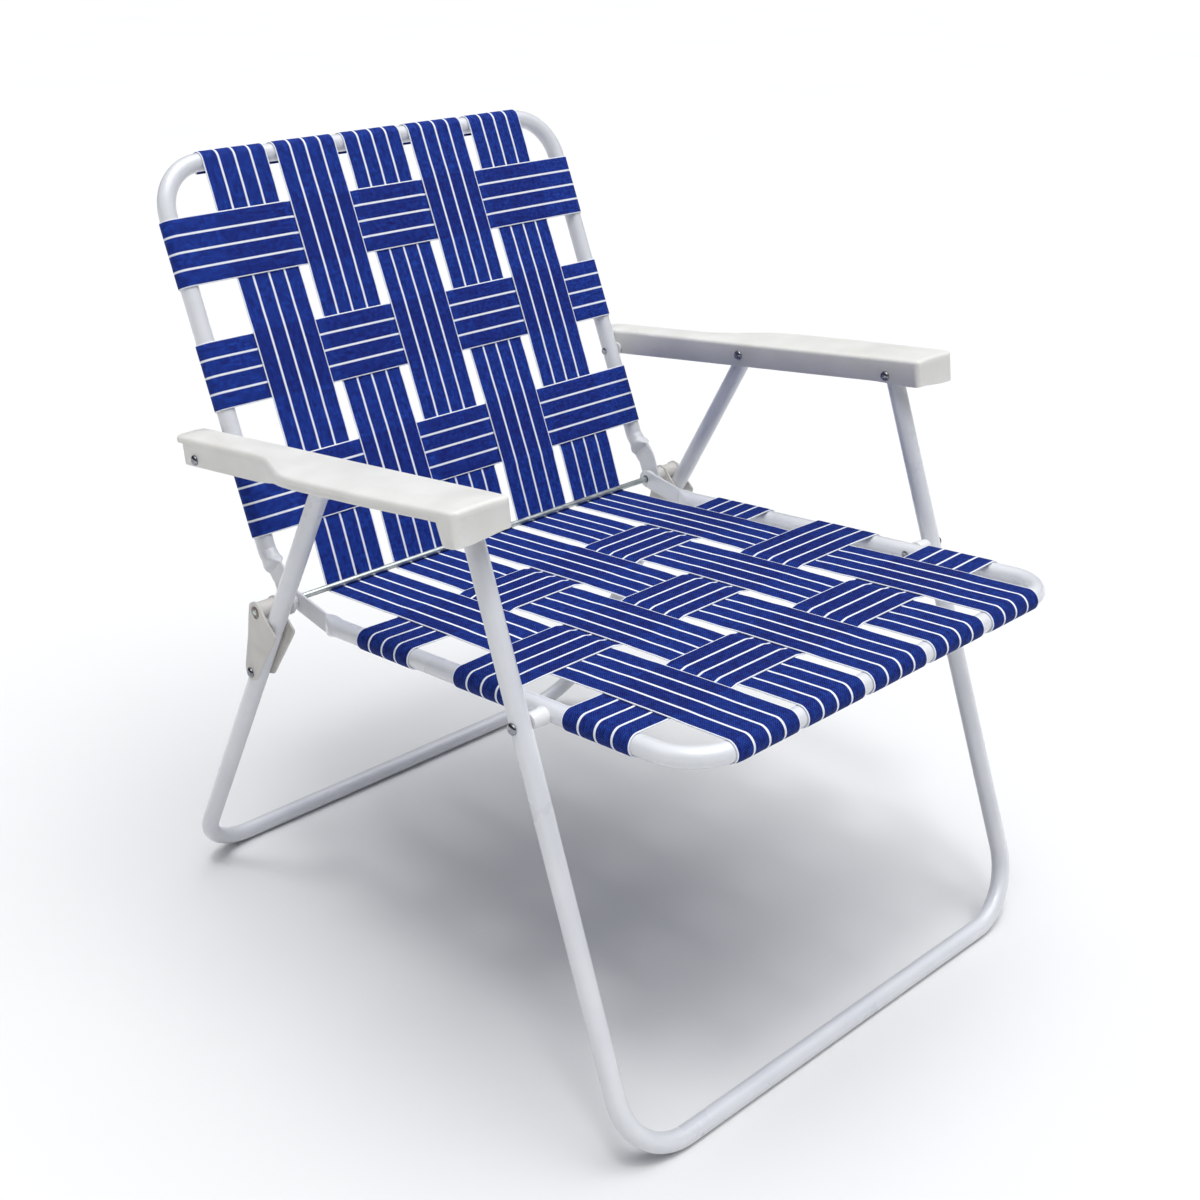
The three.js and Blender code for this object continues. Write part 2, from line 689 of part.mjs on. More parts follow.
function bracketPlate(x0, x1) {
  const ringAt = (x) => bracketShares.map(([along, off]) => place(bracketSide, x, along * reach.length(), off * reach.length()));
  return skin([ringAt(x0), ringAt(x1)], false);
}

const bracket = cut(
  join(
    bracketPlate(bracketInnerX, legInnerX - gap),
    bracketPlate(legOuterX + gap, bracketOuterX),
    pin(hinge, backHalfWidth + tabThickness / 2 + gap, legOuterX + gap + bracketWall / 2, bracketBossDiameter),
  ),
  hingeBore(),
  pin(hinge, recessFloorX, bracketOuterX + overrun, bracketRecessDiameter),
  shankBore(bracketRivet),
);
addPair("bracket", bracket, plastic);
addPair("bracket_rivet", rivetHead(bracketRivet, bracketOuterX, legOuterX + gap), bright);
addPair("bracket_rivet_tail", rivetTail(bracketRivet, bracketInnerX, legInnerX - gap), bright);

// The box round the chair is centred on x = y = 0 and stands on z = 0.
const box = new THREE.Box3().setFromObject(chair);
const centre = box.getCenter(new THREE.Vector3());
chair.children.forEach((mesh) => mesh.geometry.translate(-centre.x, -centre.y, -box.min.z));

export default chair;
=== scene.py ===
"""A folding webbed lawn chair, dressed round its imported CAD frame. Sizes are in millimetres."""

import math

import bmesh
import bpy
import numpy as np
from mathutils import Euler, Matrix, Vector, noise


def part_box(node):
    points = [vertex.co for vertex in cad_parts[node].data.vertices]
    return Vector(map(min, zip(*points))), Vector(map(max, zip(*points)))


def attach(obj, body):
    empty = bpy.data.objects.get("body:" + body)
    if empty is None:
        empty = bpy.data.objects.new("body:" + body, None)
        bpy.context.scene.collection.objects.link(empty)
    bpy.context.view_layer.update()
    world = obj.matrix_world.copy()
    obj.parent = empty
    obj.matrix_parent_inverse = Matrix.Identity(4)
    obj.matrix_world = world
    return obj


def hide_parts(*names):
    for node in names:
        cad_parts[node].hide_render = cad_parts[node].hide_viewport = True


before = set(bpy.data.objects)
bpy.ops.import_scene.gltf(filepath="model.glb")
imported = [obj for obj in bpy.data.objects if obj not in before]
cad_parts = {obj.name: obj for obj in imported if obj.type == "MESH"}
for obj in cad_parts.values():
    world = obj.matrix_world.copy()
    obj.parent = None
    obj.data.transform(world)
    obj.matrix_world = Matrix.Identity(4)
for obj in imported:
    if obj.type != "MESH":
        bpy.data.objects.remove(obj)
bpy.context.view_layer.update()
scene = bpy.context.scene

# Sizes, as in the CAD source
MM = 0.001
GAP = 0.3
TUBE_R, TUBE_WALL = 9.5, 1.2
CAD_TUBE_SIDES = 14
TAB_THICK = 3.4
HINGE_SPACER, ARM_WASHER = 5.0, 2.1
ARM_WALL, ARM_LEG_CLEARANCE = 2.6, 2.7
SEAT_HALF = 254.0
BACK_HALF = SEAT_HALF + TAB_THICK + HINGE_SPACER + 2 * GAP
ARM_INNER_X = BACK_HALF + TUBE_R + ARM_WASHER + 2 * GAP
LEG_HALF = ARM_INNER_X + ARM_WALL + ARM_LEG_CLEARANCE + TUBE_R
LEG_INNER, LEG_OUTER = LEG_HALF - TUBE_R, LEG_HALF + TUBE_R
SEAT_CORNER, BACK_CORNER, LEG_CORNER = 47.0, 52.0, 68.0
HINGE_BACK, REAR_FOOT_BACK = 528.0, 718.0
BACK_DROP, SEAT_DROP = 11.0, 14.5
BACK_TOP, SEAT_FRONT = 456.0, 566.0
BACK_LEAN = math.radians(22.3)
FRONT_LEG_ABOVE, REAR_LEG_ABOVE = 9.0, 4.6
SEAT_TAB = dict(width=21.0, bend=(-4.0, 60.0), crimp=(55.0, 76.0))
BACK_TAB = dict(width=27.0, bend=(22.0, 58.0), crimp=(37.0, 48.0))
ROD_R = 3.2
STRAP_T = 1.2
STRAP_LIFT = TUBE_R + GAP + STRAP_T / 2
LONG_W, PITCH, LONG_COUNT = 76.2, 87.5, 5
BACK_CROSS_W, SEAT_CROSS_W = 70.0, 82.0
BACK_ROW_DROPS = [54.5, 182.0, 315.0]
BACK_ROWS = [BACK_TOP - drop - BACK_CROSS_W for drop in BACK_ROW_DROPS]
SEAT_ROWS = [115.0, 264.5, 412.5]
BACK_FIRST, SEAT_FIRST = [1, -1, 1], [-1, 1, -1]
ROD_TILT = 66.0
ARM_REAR_W, ARM_SHOULDER_W = 37.0, 69.5
ARM_TOP, ARM_REAR_RISE, ARM_CROWN = 18.5, 3.0, 2.2
ARM_INNER_DEPTH, ARM_OUTER_DEPTH, ARM_FRONT_DEPTH, ARM_RETURN = 25.0, 25.5, 31.0, 17.0
ARM_U0, ARM_FRONT_OVERHANG = -37.0, 42.0
BRACKET_WALL, RECESS_DEPTH = 2.6, 1.3
BRACKET_INNER, BRACKET_OUTER = LEG_INNER - GAP - BRACKET_WALL, LEG_OUTER + GAP + BRACKET_WALL
RECESS_FLOOR = BRACKET_OUTER - RECESS_DEPTH


# Frames in the side view
def side_frame(y, z, along_y, along_z, flip=1):
    """A start, the direction along a member, and the direction square to it."""
    size = math.hypot(along_y, along_z)
    ay, az = along_y / size, along_z / size
    return (y, z, ay, az, -az * flip, ay * flip)


def place(side, x, along, offset):
    """The point, in metres, at x and so far along a side frame and off it."""
    y, z, ay, az, ny, nz = side
    return Vector((x, y + along * ay + offset * ny, z + along * az + offset * nz)) * MM


def distance_along(side, y, z):
    """How far along a side frame a place in the side view lies."""
    return (y - side[0]) * side[2] + (z - side[1]) * side[3]


def middle(node):
    """The centre of a CAD node in the side view."""
    low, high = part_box(node)
    return (low.y + high.y) / 2 / MM, (low.z + high.z) / 2 / MM


HINGE = middle("hinge_rod")
ARM_REAR = middle("arm_rear_rivet_right")
ARM_MIDDLE = middle("arm_middle_rivet_right")
ARM_FRONT = middle("arm_front_rivet_right")
SEAT_PIVOT = middle("leg_pivot_rivet_right")
BRACKET_PIVOT = middle("bracket_rivet_right")
SHIFT = HINGE[0] - HINGE_BACK
FOOT_Z = TUBE_R * math.cos(math.pi / CAD_TUBE_SIDES)
back_side = side_frame(*HINGE, math.sin(BACK_LEAN), math.cos(BACK_LEAN))
arm_side = side_frame(*ARM_REAR, ARM_FRONT[0] - ARM_REAR[0], ARM_FRONT[1] - ARM_REAR[1], -1)
front_leg_side = side_frame(SHIFT, FOOT_Z, ARM_FRONT[0] - SHIFT, ARM_FRONT[1] - FOOT_Z)
rear_foot = REAR_FOOT_BACK + SHIFT
rear_leg_side = side_frame(rear_foot, FOOT_Z, ARM_MIDDLE[0] - rear_foot, ARM_MIDDLE[1] - FOOT_Z)
reach_y, reach_z = HINGE[0] - SEAT_PIVOT[0], SEAT_PIVOT[1] - HINGE[1]
SEAT_RISE = math.atan2(reach_z, reach_y) + math.asin(SEAT_DROP / math.hypot(reach_y, reach_z))
seat_side = side_frame(*HINGE, -math.cos(SEAT_RISE), math.sin(SEAT_RISE), -1)
bracket_side = side_frame(*HINGE, BRACKET_PIVOT[0] - HINGE[0], BRACKET_PIVOT[1] - HINGE[1], -1)
BRACKET_REACH = math.dist(BRACKET_PIVOT, HINGE)
FRONT_LEG_LENGTH = distance_along(front_leg_side, *ARM_FRONT) + FRONT_LEG_ABOVE
REAR_LEG_LENGTH = distance_along(rear_leg_side, *ARM_MIDDLE) + REAR_LEG_ABOVE
ARM_U1 = distance_along(arm_side, *ARM_FRONT) + ARM_FRONT_OVERHANG


# Mesh helpers
def ramp(value, start, end):
    return min(1.0, max(0.0, (value - start) / (end - start)))


def smooth_step(t):
    t = min(1.0, max(0.0, t))
    return t * t * (3 - 2 * t)


def lerp(a, b, t):
    return a + (b - a) * t


def corner_inset(distance, radius):
    """How far a rounded corner's edge lies in from the side, at a distance from the end."""
    d = min(max(distance, 0.0), radius)
    return radius - math.sqrt(radius * radius - (radius - d) ** 2)


def link(name, data):
    piece = bpy.data.objects.new(name, data)
    scene.collection.objects.link(piece)
    return piece


def make(name, points, faces, sharp=40.0, uvs=None):
    mesh = bpy.data.meshes.new(name)
    mesh.from_pydata([tuple(p) for p in points], [], faces)
    if uvs is not None:
        layer = mesh.uv_layers.new(name="strap")
        for loop in mesh.loops:
            layer.data[loop.index].uv = uvs[loop.vertex_index]
    bm = bmesh.new()
    bm.from_mesh(mesh)
    bmesh.ops.recalc_face_normals(bm, faces=bm.faces)
    if bm.calc_volume(signed=True) < 0:
        bmesh.ops.reverse_faces(bm, faces=bm.faces)
    bm.to_mesh(mesh)
    bm.free()
    mesh.shade_smooth()
    mesh.set_sharp_from_angle(angle=math.radians(sharp))
    return link(name, mesh)


def ring_faces(count, start_a, start_b):
    return [
        (start_a + i, start_a + (i + 1) % count, start_b + (i + 1) % count, start_b + i)
        for i in range(count)
    ]


def skin(name, rings, sharp=40.0, looped=False):
    """Rings of points joined in order, and either closed on the first or capped."""
    count = len(rings[0])
    faces = []
    for k in range(len(rings) if looped else len(rings) - 1):
        faces += ring_faces(count, k * count, ((k + 1) % len(rings)) * count)
    if not looped:
        faces.append(tuple(range(count))[::-1])
        faces.append(tuple(range((len(rings) - 1) * count, len(rings) * count)))
    return make(name, [p for ring in rings for p in ring], faces, sharp)


def turned(name, centre, profile, looped=False, count=48, sharp=32.0):
    """A turned piece on the X axis from a profile of (x, radius)."""
    angles = [math.tau * i / count for i in range(count)]
    rings = []
    for x, radius in profile:
        rings.append([
            Vector((x, centre[0] + radius * math.cos(a), centre[1] + radius * math.sin(a))) * MM
            for a in angles
        ])
    return skin(name, rings, sharp, looped)


def cut(piece, cutter):
    modifier = piece.modifiers.new("cut", "BOOLEAN")
    modifier.operation = "DIFFERENCE"
    modifier.solver = "EXACT"
    modifier.object = cutter
    bpy.context.view_layer.update()
    shape = piece.evaluated_get(bpy.context.evaluated_depsgraph_get())
    mesh = bpy.data.meshes.new_from_object(shape)
    piece.modifiers.clear()
    piece.data = mesh
    bpy.data.objects.remove(cutter)
    return piece


def join(name, pieces, sharp=38.0):
    """One object from several that touch."""
    bm = bmesh.new()
    for piece in pieces:
        bm.from_mesh(piece.data)
    mesh = bpy.data.meshes.new(name)
    bm.to_mesh(mesh)
    bm.free()
    for piece in pieces:
        bpy.data.objects.remove(piece)
    mesh.shade_smooth()
    mesh.set_sharp_from_angle(angle=math.radians(sharp))
    return link(name, mesh)


def mirrored(piece, name):
    """The left-hand copy of a right-hand piece."""
    mesh = piece.data.copy()
    mesh.transform(Matrix.Diagonal((-1, 1, 1, 1)))
    mesh.flip_normals()
    return link(name, mesh)


def dress(piece, body, material, slot, *nodes):
    piece.data.materials.clear()
    piece.data.materials.append(material)
    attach(piece, body)
    if nodes:
        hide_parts(*nodes)
    return piece


def pair(maker, body, material, slot, name, node):
    """A right-hand piece and its mirror image."""
    right = maker(name + "_right")
    left = mirrored(right, name + "_left")
    dress(right, body, material, slot, node + "_right")
    dress(left, body, material, slot, node + "_left")


# Materials
class Tree:
    """The nodes of a material or a world: a value or another node's output feeds any socket."""

    def __init__(self, holder):
        self.holder = holder
        holder.use_nodes = True
        self.tree = holder.node_tree

    def feed(self, socket, value):
        if isinstance(value, bpy.types.NodeSocket):
            self.tree.links.new(value, socket)
        else:
            socket.default_value = value

    def node(self, kind, inputs=None, **settings):
        made = self.tree.nodes.new(kind)
        for key, value in settings.items():
            setattr(made, key, value)
        for key, value in (inputs or {}).items():
            self.feed(made.inputs[key], value)
        return made

    def math(self, operation, *values):
        made = self.node("ShaderNodeMath", dict(enumerate(values)), operation=operation)
        return made.outputs[0]

    def range(self, value, source, target=(0.0, 1.0)):
        names = ("Value", "From Min", "From Max", "To Min", "To Max")
        inputs = dict(zip(names, (value, *source, *target)))
        return self.node("ShaderNodeMapRange", inputs).outputs[0]

    def mix(self, factor, a, b):
        made = self.node("ShaderNodeMix", data_type="RGBA")
        for index, value in ((0, factor), (6, a), (7, b)):
            self.feed(made.inputs[index], value)
        return made.outputs[2]

    def noise(self, vector, scale=1.0, detail=3.0, rough=0.55):
        inputs = {"Vector": vector, "Scale": scale, "Detail": detail, "Roughness": rough}
        return self.node("ShaderNodeTexNoise", inputs).outputs["Fac"]

    def place(self):
        return self.node("ShaderNodeTexCoord").outputs["Object"]

    def stretch(self, vector, scale):
        return self.node("ShaderNodeMapping", {"Vector": vector, "Scale": scale}).outputs[0]

    def bump(self, height, strength, distance, normal=None):
        inputs = {"Height": height, "Strength": strength, "Distance": distance}
        if normal is not None:
            inputs["Normal"] = normal
        return self.node("ShaderNodeBump", inputs).outputs[0]

    def set(self, **values):
        shader = self.tree.nodes["Principled BSDF"]
        for key, value in values.items():
            self.feed(shader.inputs[key.replace("_", " ")], value)


def new_material(name):
    return Tree(bpy.data.materials.new(name))


MIDTONES = (0.3, 0.7)
UV_LENGTH = 100.0
WARP_RIBS, WEFT_PITCH = 58.0, 1.25
STRIPE_SHARE = (0.056, 0.072)
THIN_BLUES = ((0.006, 0.008, 0.092), (0.014, 0.062, 0.390))
DOUBLE_BLUES = ((0.006, 0.006, 0.078), (0.012, 0.048, 0.325))
STRIPE_WHITES = ((0.66, 0.70, 0.80, 1), (0.90, 0.91, 0.94, 1))


def webbing_material(name, light_gain):
    t = new_material(name)

    # Painted light and shade: every colour is scaled by the light gain
    def shades(colours):
        return [(*(channel * light_gain for channel in colour), 1) for colour in colours]

    uv = t.node("ShaderNodeUVMap", uv_map="strap").outputs[0]
    split = t.node("ShaderNodeSeparateXYZ", {0: uv})
    across, along = split.outputs[0], split.outputs[1]
    # Three pale stripes and the two selvages, at every quarter of the width
    fibre = t.noise(t.stretch(uv, (76.0, 100.0, 1.0)), scale=0.9, detail=2.0)
    wobble = t.math("MULTIPLY_ADD", fibre, 0.012, -0.006)
    quarter = t.math("MULTIPLY_ADD", across, 4.0, wobble)
    centred = t.math("SUBTRACT", t.math("FRACT", t.math("ADD", quarter, 0.5)), 0.5)
    stripe = t.range(t.math("ABSOLUTE", centred), STRIPE_SHARE, (1.0, 0.0))
    # Warp ribs along the strap, broken by the weft that crosses them
    warp = t.math("MULTIPLY", across, WARP_RIBS)
    weft = t.math("MULTIPLY", along, UV_LENGTH / WEFT_PITCH)
    row = t.math("MULTIPLY", t.math("FLOOR", warp), math.pi)
    rib = t.math("ABSOLUTE", t.math("SINE", t.math("MULTIPLY", warp, math.pi)))
    knot = t.math("SINE", t.math("MULTIPLY_ADD", weft, math.pi, row))
    height = t.math("MULTIPLY", rib, t.math("MULTIPLY_ADD", knot, 0.32, 0.68))
    # Flecks, from patches and streaks along the strap, and painted shade from the ribs: their crowns
    # lighter, the dips between them darker
    patch = t.noise(t.stretch(uv, (14.0, 22.0, 1.0)), detail=4.0, rough=0.65)
    streak = t.noise(t.stretch(uv, (60.0, 6.0, 1.0)), detail=2.0)
    rib_shade = t.math("MULTIPLY", height, 0.35)
    tone = t.math("MULTIPLY_ADD", patch, 0.55, t.math("MULTIPLY_ADD", streak, 0.45, rib_shade))
    fleck = t.range(tone, (0.54, 0.86))
    # Light comes through a single layer; another strap behind stops it
    backed = t.node("ShaderNodeAttribute", attribute_name="backed").outputs["Fac"]
    thin = t.mix(fleck, *shades(THIN_BLUES))
    double = t.mix(fleck, *shades(DOUBLE_BLUES))
    blue = t.mix(backed, thin, double)
    # The white stripes carry the same painted shade from the ribs
    white = t.mix(t.range(tone, (0.3, 0.95)), *STRIPE_WHITES)
    t.set(Base_Color=t.mix(stripe, blue, white))
    t.set(Roughness=t.range(height, (0.2, 1.0), (0.75, 0.55)), Specular_IOR_Level=0.10)
    folds = t.bump(patch, strength=0.25, distance=0.0012)
    t.set(Normal=t.bump(height, strength=0.55, distance=0.00035, normal=folds))
    return t.holder


def paint_material():
    t = new_material("baked_enamel")
    where = t.place()
    cloud = t.noise(where, scale=14.0, detail=4.0)
    speck = t.noise(where, scale=420.0, detail=2.0, rough=0.6)
    scuff = t.noise(t.stretch(where, (260.0, 40.0, 90.0)), detail=5.0, rough=0.7)
    marks = t.math("MULTIPLY", t.range(scuff, (0.66, 0.74)), 0.30)
    colour = t.mix(t.range(cloud, MIDTONES), (0.660, 0.675, 0.715, 1), (0.730, 0.742, 0.770, 1))
    colour = t.mix(t.range(speck, (0.62, 0.80), (0.0, 0.18)), colour, (0.50, 0.52, 0.55, 1))
    t.set(Base_Color=t.mix(marks, colour, (0.50, 0.51, 0.53, 1)))
    t.set(Roughness=t.range(cloud, MIDTONES, (0.26, 0.34)))
    t.set(Coat_Weight=0.6, Coat_Roughness=0.07, Specular_IOR_Level=0.5)
    peel = t.noise(where, scale=900.0, detail=2.0)
    t.set(Normal=t.bump(peel, strength=0.10, distance=0.0004))
    return t.holder


def moulding_material(name, low, high, flowed):
    t = new_material(name)
    where = t.place()
    cloud = t.noise(where, scale=22.0, detail=5.0, rough=0.6)
    flow = t.noise(t.stretch(where, (60.0, 9.0, 60.0)), detail=4.0)
    colour = t.mix(t.range(cloud, (0.3, 0.72)), low, high)
    t.set(Base_Color=t.mix(t.range(flow, (0.55, 0.75), (0.0, 0.4)), colour, flowed))
    t.set(Roughness=t.range(cloud, MIDTONES, (0.40, 0.50)), Specular_IOR_Level=0.45)
    t.set(Subsurface_Weight=0.08, Subsurface_Scale=0.004, Subsurface_Radius=(1.0, 0.8, 0.6))
    grain = t.noise(where, scale=500.0, detail=3.0)
    waves = t.bump(cloud, strength=0.12, distance=0.002)
    t.set(Normal=t.bump(grain, strength=0.14, distance=0.0004, normal=waves))
    return t.holder


def bushing_material():
    t = new_material("white_bushing")
    where = t.place()
    cloud = t.noise(where, scale=60.0)
    t.set(Base_Color=t.mix(t.range(cloud, MIDTONES), (0.72, 0.73, 0.74, 1), (0.79, 0.79, 0.79, 1)))
    t.set(Roughness=t.range(cloud, MIDTONES, (0.22, 0.30)), Specular_IOR_Level=0.5)
    grain = t.noise(where, scale=700.0, detail=2.0)
    t.set(Normal=t.bump(grain, strength=0.08, distance=0.0003))
    return t.holder


def zinc_material():
    t = new_material("zinc_plate")
    where = t.place()
    cloud = t.noise(where, scale=90.0, detail=4.0, rough=0.65)
    t.set(Base_Color=t.mix(t.range(cloud, (0.35, 0.7)), (0.40, 0.44, 0.43, 1), (0.62, 0.66, 0.65, 1)))
    t.set(Roughness=t.range(cloud, MIDTONES, (0.30, 0.46)), Metallic=0.9)
    drawn = t.noise(t.stretch(where, (12.0, 900.0, 900.0)))
    t.set(Normal=t.bump(drawn, strength=0.12, distance=0.0003))
    return t.holder


def metal_material(name, scale, rough, colours, roughness, metallic, strength):
    """Bare metal with a soft cloud in its colour, its gloss and its surface."""
    t = new_material(name)
    cloud = t.noise(t.place(), scale=scale, detail=4.0, rough=rough)
    t.set(Base_Color=t.mix(t.range(cloud, MIDTONES), *colours))
    t.set(Roughness=t.range(cloud, MIDTONES, roughness), Metallic=metallic)
    t.set(Normal=t.bump(cloud, strength=strength, distance=0.0004))
    return t.holder


# The back's webbing is painted brighter than the seat's: painted light and shade for the overhead light,
# which falls more on the seat than on the leaning back.
WEBBING = {
    "back": webbing_material("lit_back_webbing", light_gain=1.17),
    "seat": webbing_material("shaded_seat_webbing", light_gain=0.86),
}
PAINT = paint_material()
MOULDING = moulding_material(
    "moulded_plastic", (0.700, 0.690, 0.655, 1), (0.770, 0.765, 0.740, 1), (0.66, 0.645, 0.60, 1),
)
# The brackets' plastic: a warmer tint, and darker than the armrests' as painted shade for the shadow the
# brackets sit in
SHADED_MOULDING = moulding_material(
    "warm_moulding_painted_shade", (0.560, 0.535, 0.505, 1), (0.640, 0.620, 0.595, 1), (0.50, 0.475, 0.43, 1),
)
BUSHING = bushing_material()
ZINC = zinc_material()
# The push nuts: brownish steel, painted dark as the shade inside the recess each sits in
NUT = metal_material(
    "spring_steel_painted_recess_shade", scale=300.0, rough=0.65, colours=((0.16, 0.13, 0.11, 1), (0.34, 0.30, 0.27, 1)),
    roughness=(0.35, 0.55), metallic=0.85, strength=0.12,
)
STEEL = metal_material(
    "bright_rivet_steel", scale=260.0, rough=0.6, colours=((0.15, 0.16, 0.18, 1), (0.36, 0.37, 0.40, 1)),
    roughness=(0.10, 0.20), metallic=1.0, strength=0.10,
)

# Tubes
TUBE_SIDES = 48
CORNER_STEPS = 18
TAB_STEPS = 56
TAB_TIP_DEGREES = (86, 78, 68, 58, 48, 38, 28, 18, 9)
TAB_SQUARENESS, ROUND = 5.5, 2
CRIMP_CURVE = 0.62
BEND_EASE = 0.16
OPEN_END_DEPTH = 60.0
ROD_CLEARANCE = 1.0
HOLE_REACH = 400.0


def section(side, station, inset=0.0):
    """A ring round a tube: an ellipse where square is 2, and squarer above that."""
    centre, side_axis, rise_axis, half_side, half_rise, square = station
    ring = []
    for i in range(TUBE_SIDES):
        angle = math.tau * (i + 0.5) / TUBE_SIDES
        c, s = math.cos(angle), math.sin(angle)
        c = math.copysign(abs(c) ** (2 / square), c) * (half_side - inset)
        s = math.copysign(abs(s) ** (2 / square), s) * (half_rise - inset)
        ring.append(place(side, *(centre[k] + c * side_axis[k] + s * rise_axis[k] for k in range(3))))
    return ring


def round_station(x, along, offset, tangent):
    return ((x, along, offset), (-tangent[1], tangent[0], 0), (0, 0, 1), TUBE_R, TUBE_R, ROUND)


def corner(half, radius, bar, offset, up):
    stations = []
    for i in range(CORNER_STEPS + 1):
        angle = i / CORNER_STEPS * math.pi / 2
        x = half - radius + radius * math.cos(angle)
        along = bar - up * radius * (1 - math.sin(angle))
        stations.append(round_station(x, along, offset, (-math.sin(angle), up * math.cos(angle))))
    return stations


def eased(t, ease):
    """A slope that starts and ends softly: how far it has come, and how steep it is."""
    if t < ease:
        return t * t / (2 * ease), t / ease
    if t > 1 - ease:
        return 1 - ease - (1 - t) ** 2 / (2 * ease), (1 - t) / ease
    return t - ease / 2, 1.0


def tab(shape, x, drop):
    """The flattened end of a leg: rounded tip, flat blade, bend and crimp."""
    half = shape["width"] / 2
    length = shape["bend"][1] - shape["bend"][0]

    def station(along, shrink):
        crimp = ramp(along, *shape["crimp"])
        flat = math.sin(crimp * math.pi / 2) ** CRIMP_CURVE
        fall, steep = eased(ramp(along, *shape["bend"]), BEND_EASE)
        slope = drop / length * steep / (1 - BEND_EASE)
        centre = (x, along, -drop * fall / (1 - BEND_EASE))
        square = lerp(TAB_SQUARENESS, ROUND, smooth_step(crimp))
        rise = lerp(half, TUBE_R, smooth_step(crimp)) * shrink
        return (centre, (-1, 0, 0), (0, slope, 1), lerp(TAB_THICK / 2, TUBE_R, flat), rise, square)

    stations = []
    for degrees in TAB_TIP_DEGREES:
        angle = math.radians(degrees)
        stations.append(station(-half * math.sin(angle), math.cos(angle)))
    end = max(shape["bend"][1], shape["crimp"][1])
    return stations + [station(end * i / TAB_STEPS, 1) for i in range(TAB_STEPS + 1)]


def both_sides(half):
    def flip(v):
        return (-v[0], v[1], v[2])

    other = [(flip(c), flip(a), r, s, q, n) for c, a, r, s, q, n in half]
    return half + other[::-1]


def tabbed_frame(name, side, shape, half, drop, radius, bar):
    """A U tube whose two ends are flattened and drilled for the hinge rod."""
    stations = both_sides(tab(shape, half, drop) + corner(half, radius, bar, -drop, 1))
    piece = skin(name, [section(side, s) for s in stations], sharp=30)
    hole = turned("hole", HINGE, [(x, ROD_R + ROD_CLEARANCE) for x in (-HOLE_REACH, HOLE_REACH)])
    return cut(piece, hole)


def leg_frame(name, side, length):
    """A U tube with open ends, hollow for as far as anyone can see in."""
    top = round_station(LEG_HALF, length, 0, (0, -1))
    deep = round_station(LEG_HALF, length - OPEN_END_DEPTH, 0, (0, -1))
    stations = both_sides([top] + corner(LEG_HALF, LEG_CORNER, 0, 0, -1))
    outer = [section(side, s) for s in stations]
    inner = [section(side, s, TUBE_WALL) for s in both_sides([deep, top])]
    return skin(name, [inner[0], inner[1], *outer, inner[2], inner[3]], sharp=35)


back_tube = tabbed_frame(
    "back_frame_tube", back_side, BACK_TAB, BACK_HALF, BACK_DROP, BACK_CORNER, BACK_TOP,
)
dress(back_tube, "back", PAINT, "tube_paint", "back_frame")
seat_tube = tabbed_frame(
    "seat_frame_tube", seat_side, SEAT_TAB, SEAT_HALF, SEAT_DROP, SEAT_CORNER, SEAT_FRONT,
)
dress(seat_tube, "seat", PAINT, "tube_paint", "seat_frame")
front_leg_tube = leg_frame("front_leg_tube", front_leg_side, FRONT_LEG_LENGTH)
dress(front_leg_tube, "front_leg", PAINT, "tube_paint", "front_leg")
rear_leg_tube = leg_frame("rear_leg_tube", rear_leg_side, REAR_LEG_LENGTH)
dress(rear_leg_tube, "rear_leg", PAINT, "tube_paint", "rear_leg")

# Webbing: how a strap's section, its ripple, its weave and its wraps are shaped
SELVAGE = [(0.0, 0.25), (0.14, 0.48)]
FLAT_START, FLAT_STEPS = 0.5, 8
RIPPLE, RIPPLE_ACROSS, RIPPLE_ALONG, SEED_STEP = 0.16, 26.0, 38.0, 7.3
CROSS_LIFT, LONG_LIFT = 0.95, 0.55
LONG_TAIL, CROSS_TAIL = (math.radians(186), 9.0), (math.radians(200), 0.0)
WRAP_STEP = math.radians(6)
EDGE_STEP = 0.6
SLOPE_FAR, SLOPE_NEAR = 22.0, 2.0
LONG_STEPS, ROD_STEPS = 96, 9
FLAT_POINTS, SLOPE_POINTS = 6, 8
BACKED_MARGIN = 1.0
CORNER_START, CORNER_END = 60.0, 12.0
SLANT_LEFT, SLANT_RIGHT = 4.5, 1.0
DRIFT_CURVE = 1.3
# The seat's long straps drift a little to one side towards the front, as they were woven by hand.
SEAT_DRIFT = [-5.0, -6.0, -6.0, -5.5, -3.0]


def arc(centre, radius, out, on, start, end):
    count = max(2, round(abs(end - start) / WRAP_STEP))
    points = []
    for i in range(count + 1):
        angle = lerp(start, end, i / count)
        c, s = math.cos(angle), math.sin(angle)
        points.append(tuple(centre[k] + radius * (out[k] * c + on[k] * s) for k in (0, 1)))
    return points


def strap_outline(width):
    """Once round a strap's section, as (place across, height), with soft edges."""
    flat = [lerp(FLAT_START, width - FLAT_START, k / FLAT_STEPS) for k in range(FLAT_STEPS + 1)]
    lower = [(w, -h) for w, h in SELVAGE] + [(w, -STRAP_T / 2) for w in flat]
    lower += [(width - w, -h) for w, h in SELVAGE[::-1]]
    return lower + [(w, -h) for w, h in lower[::-1]]


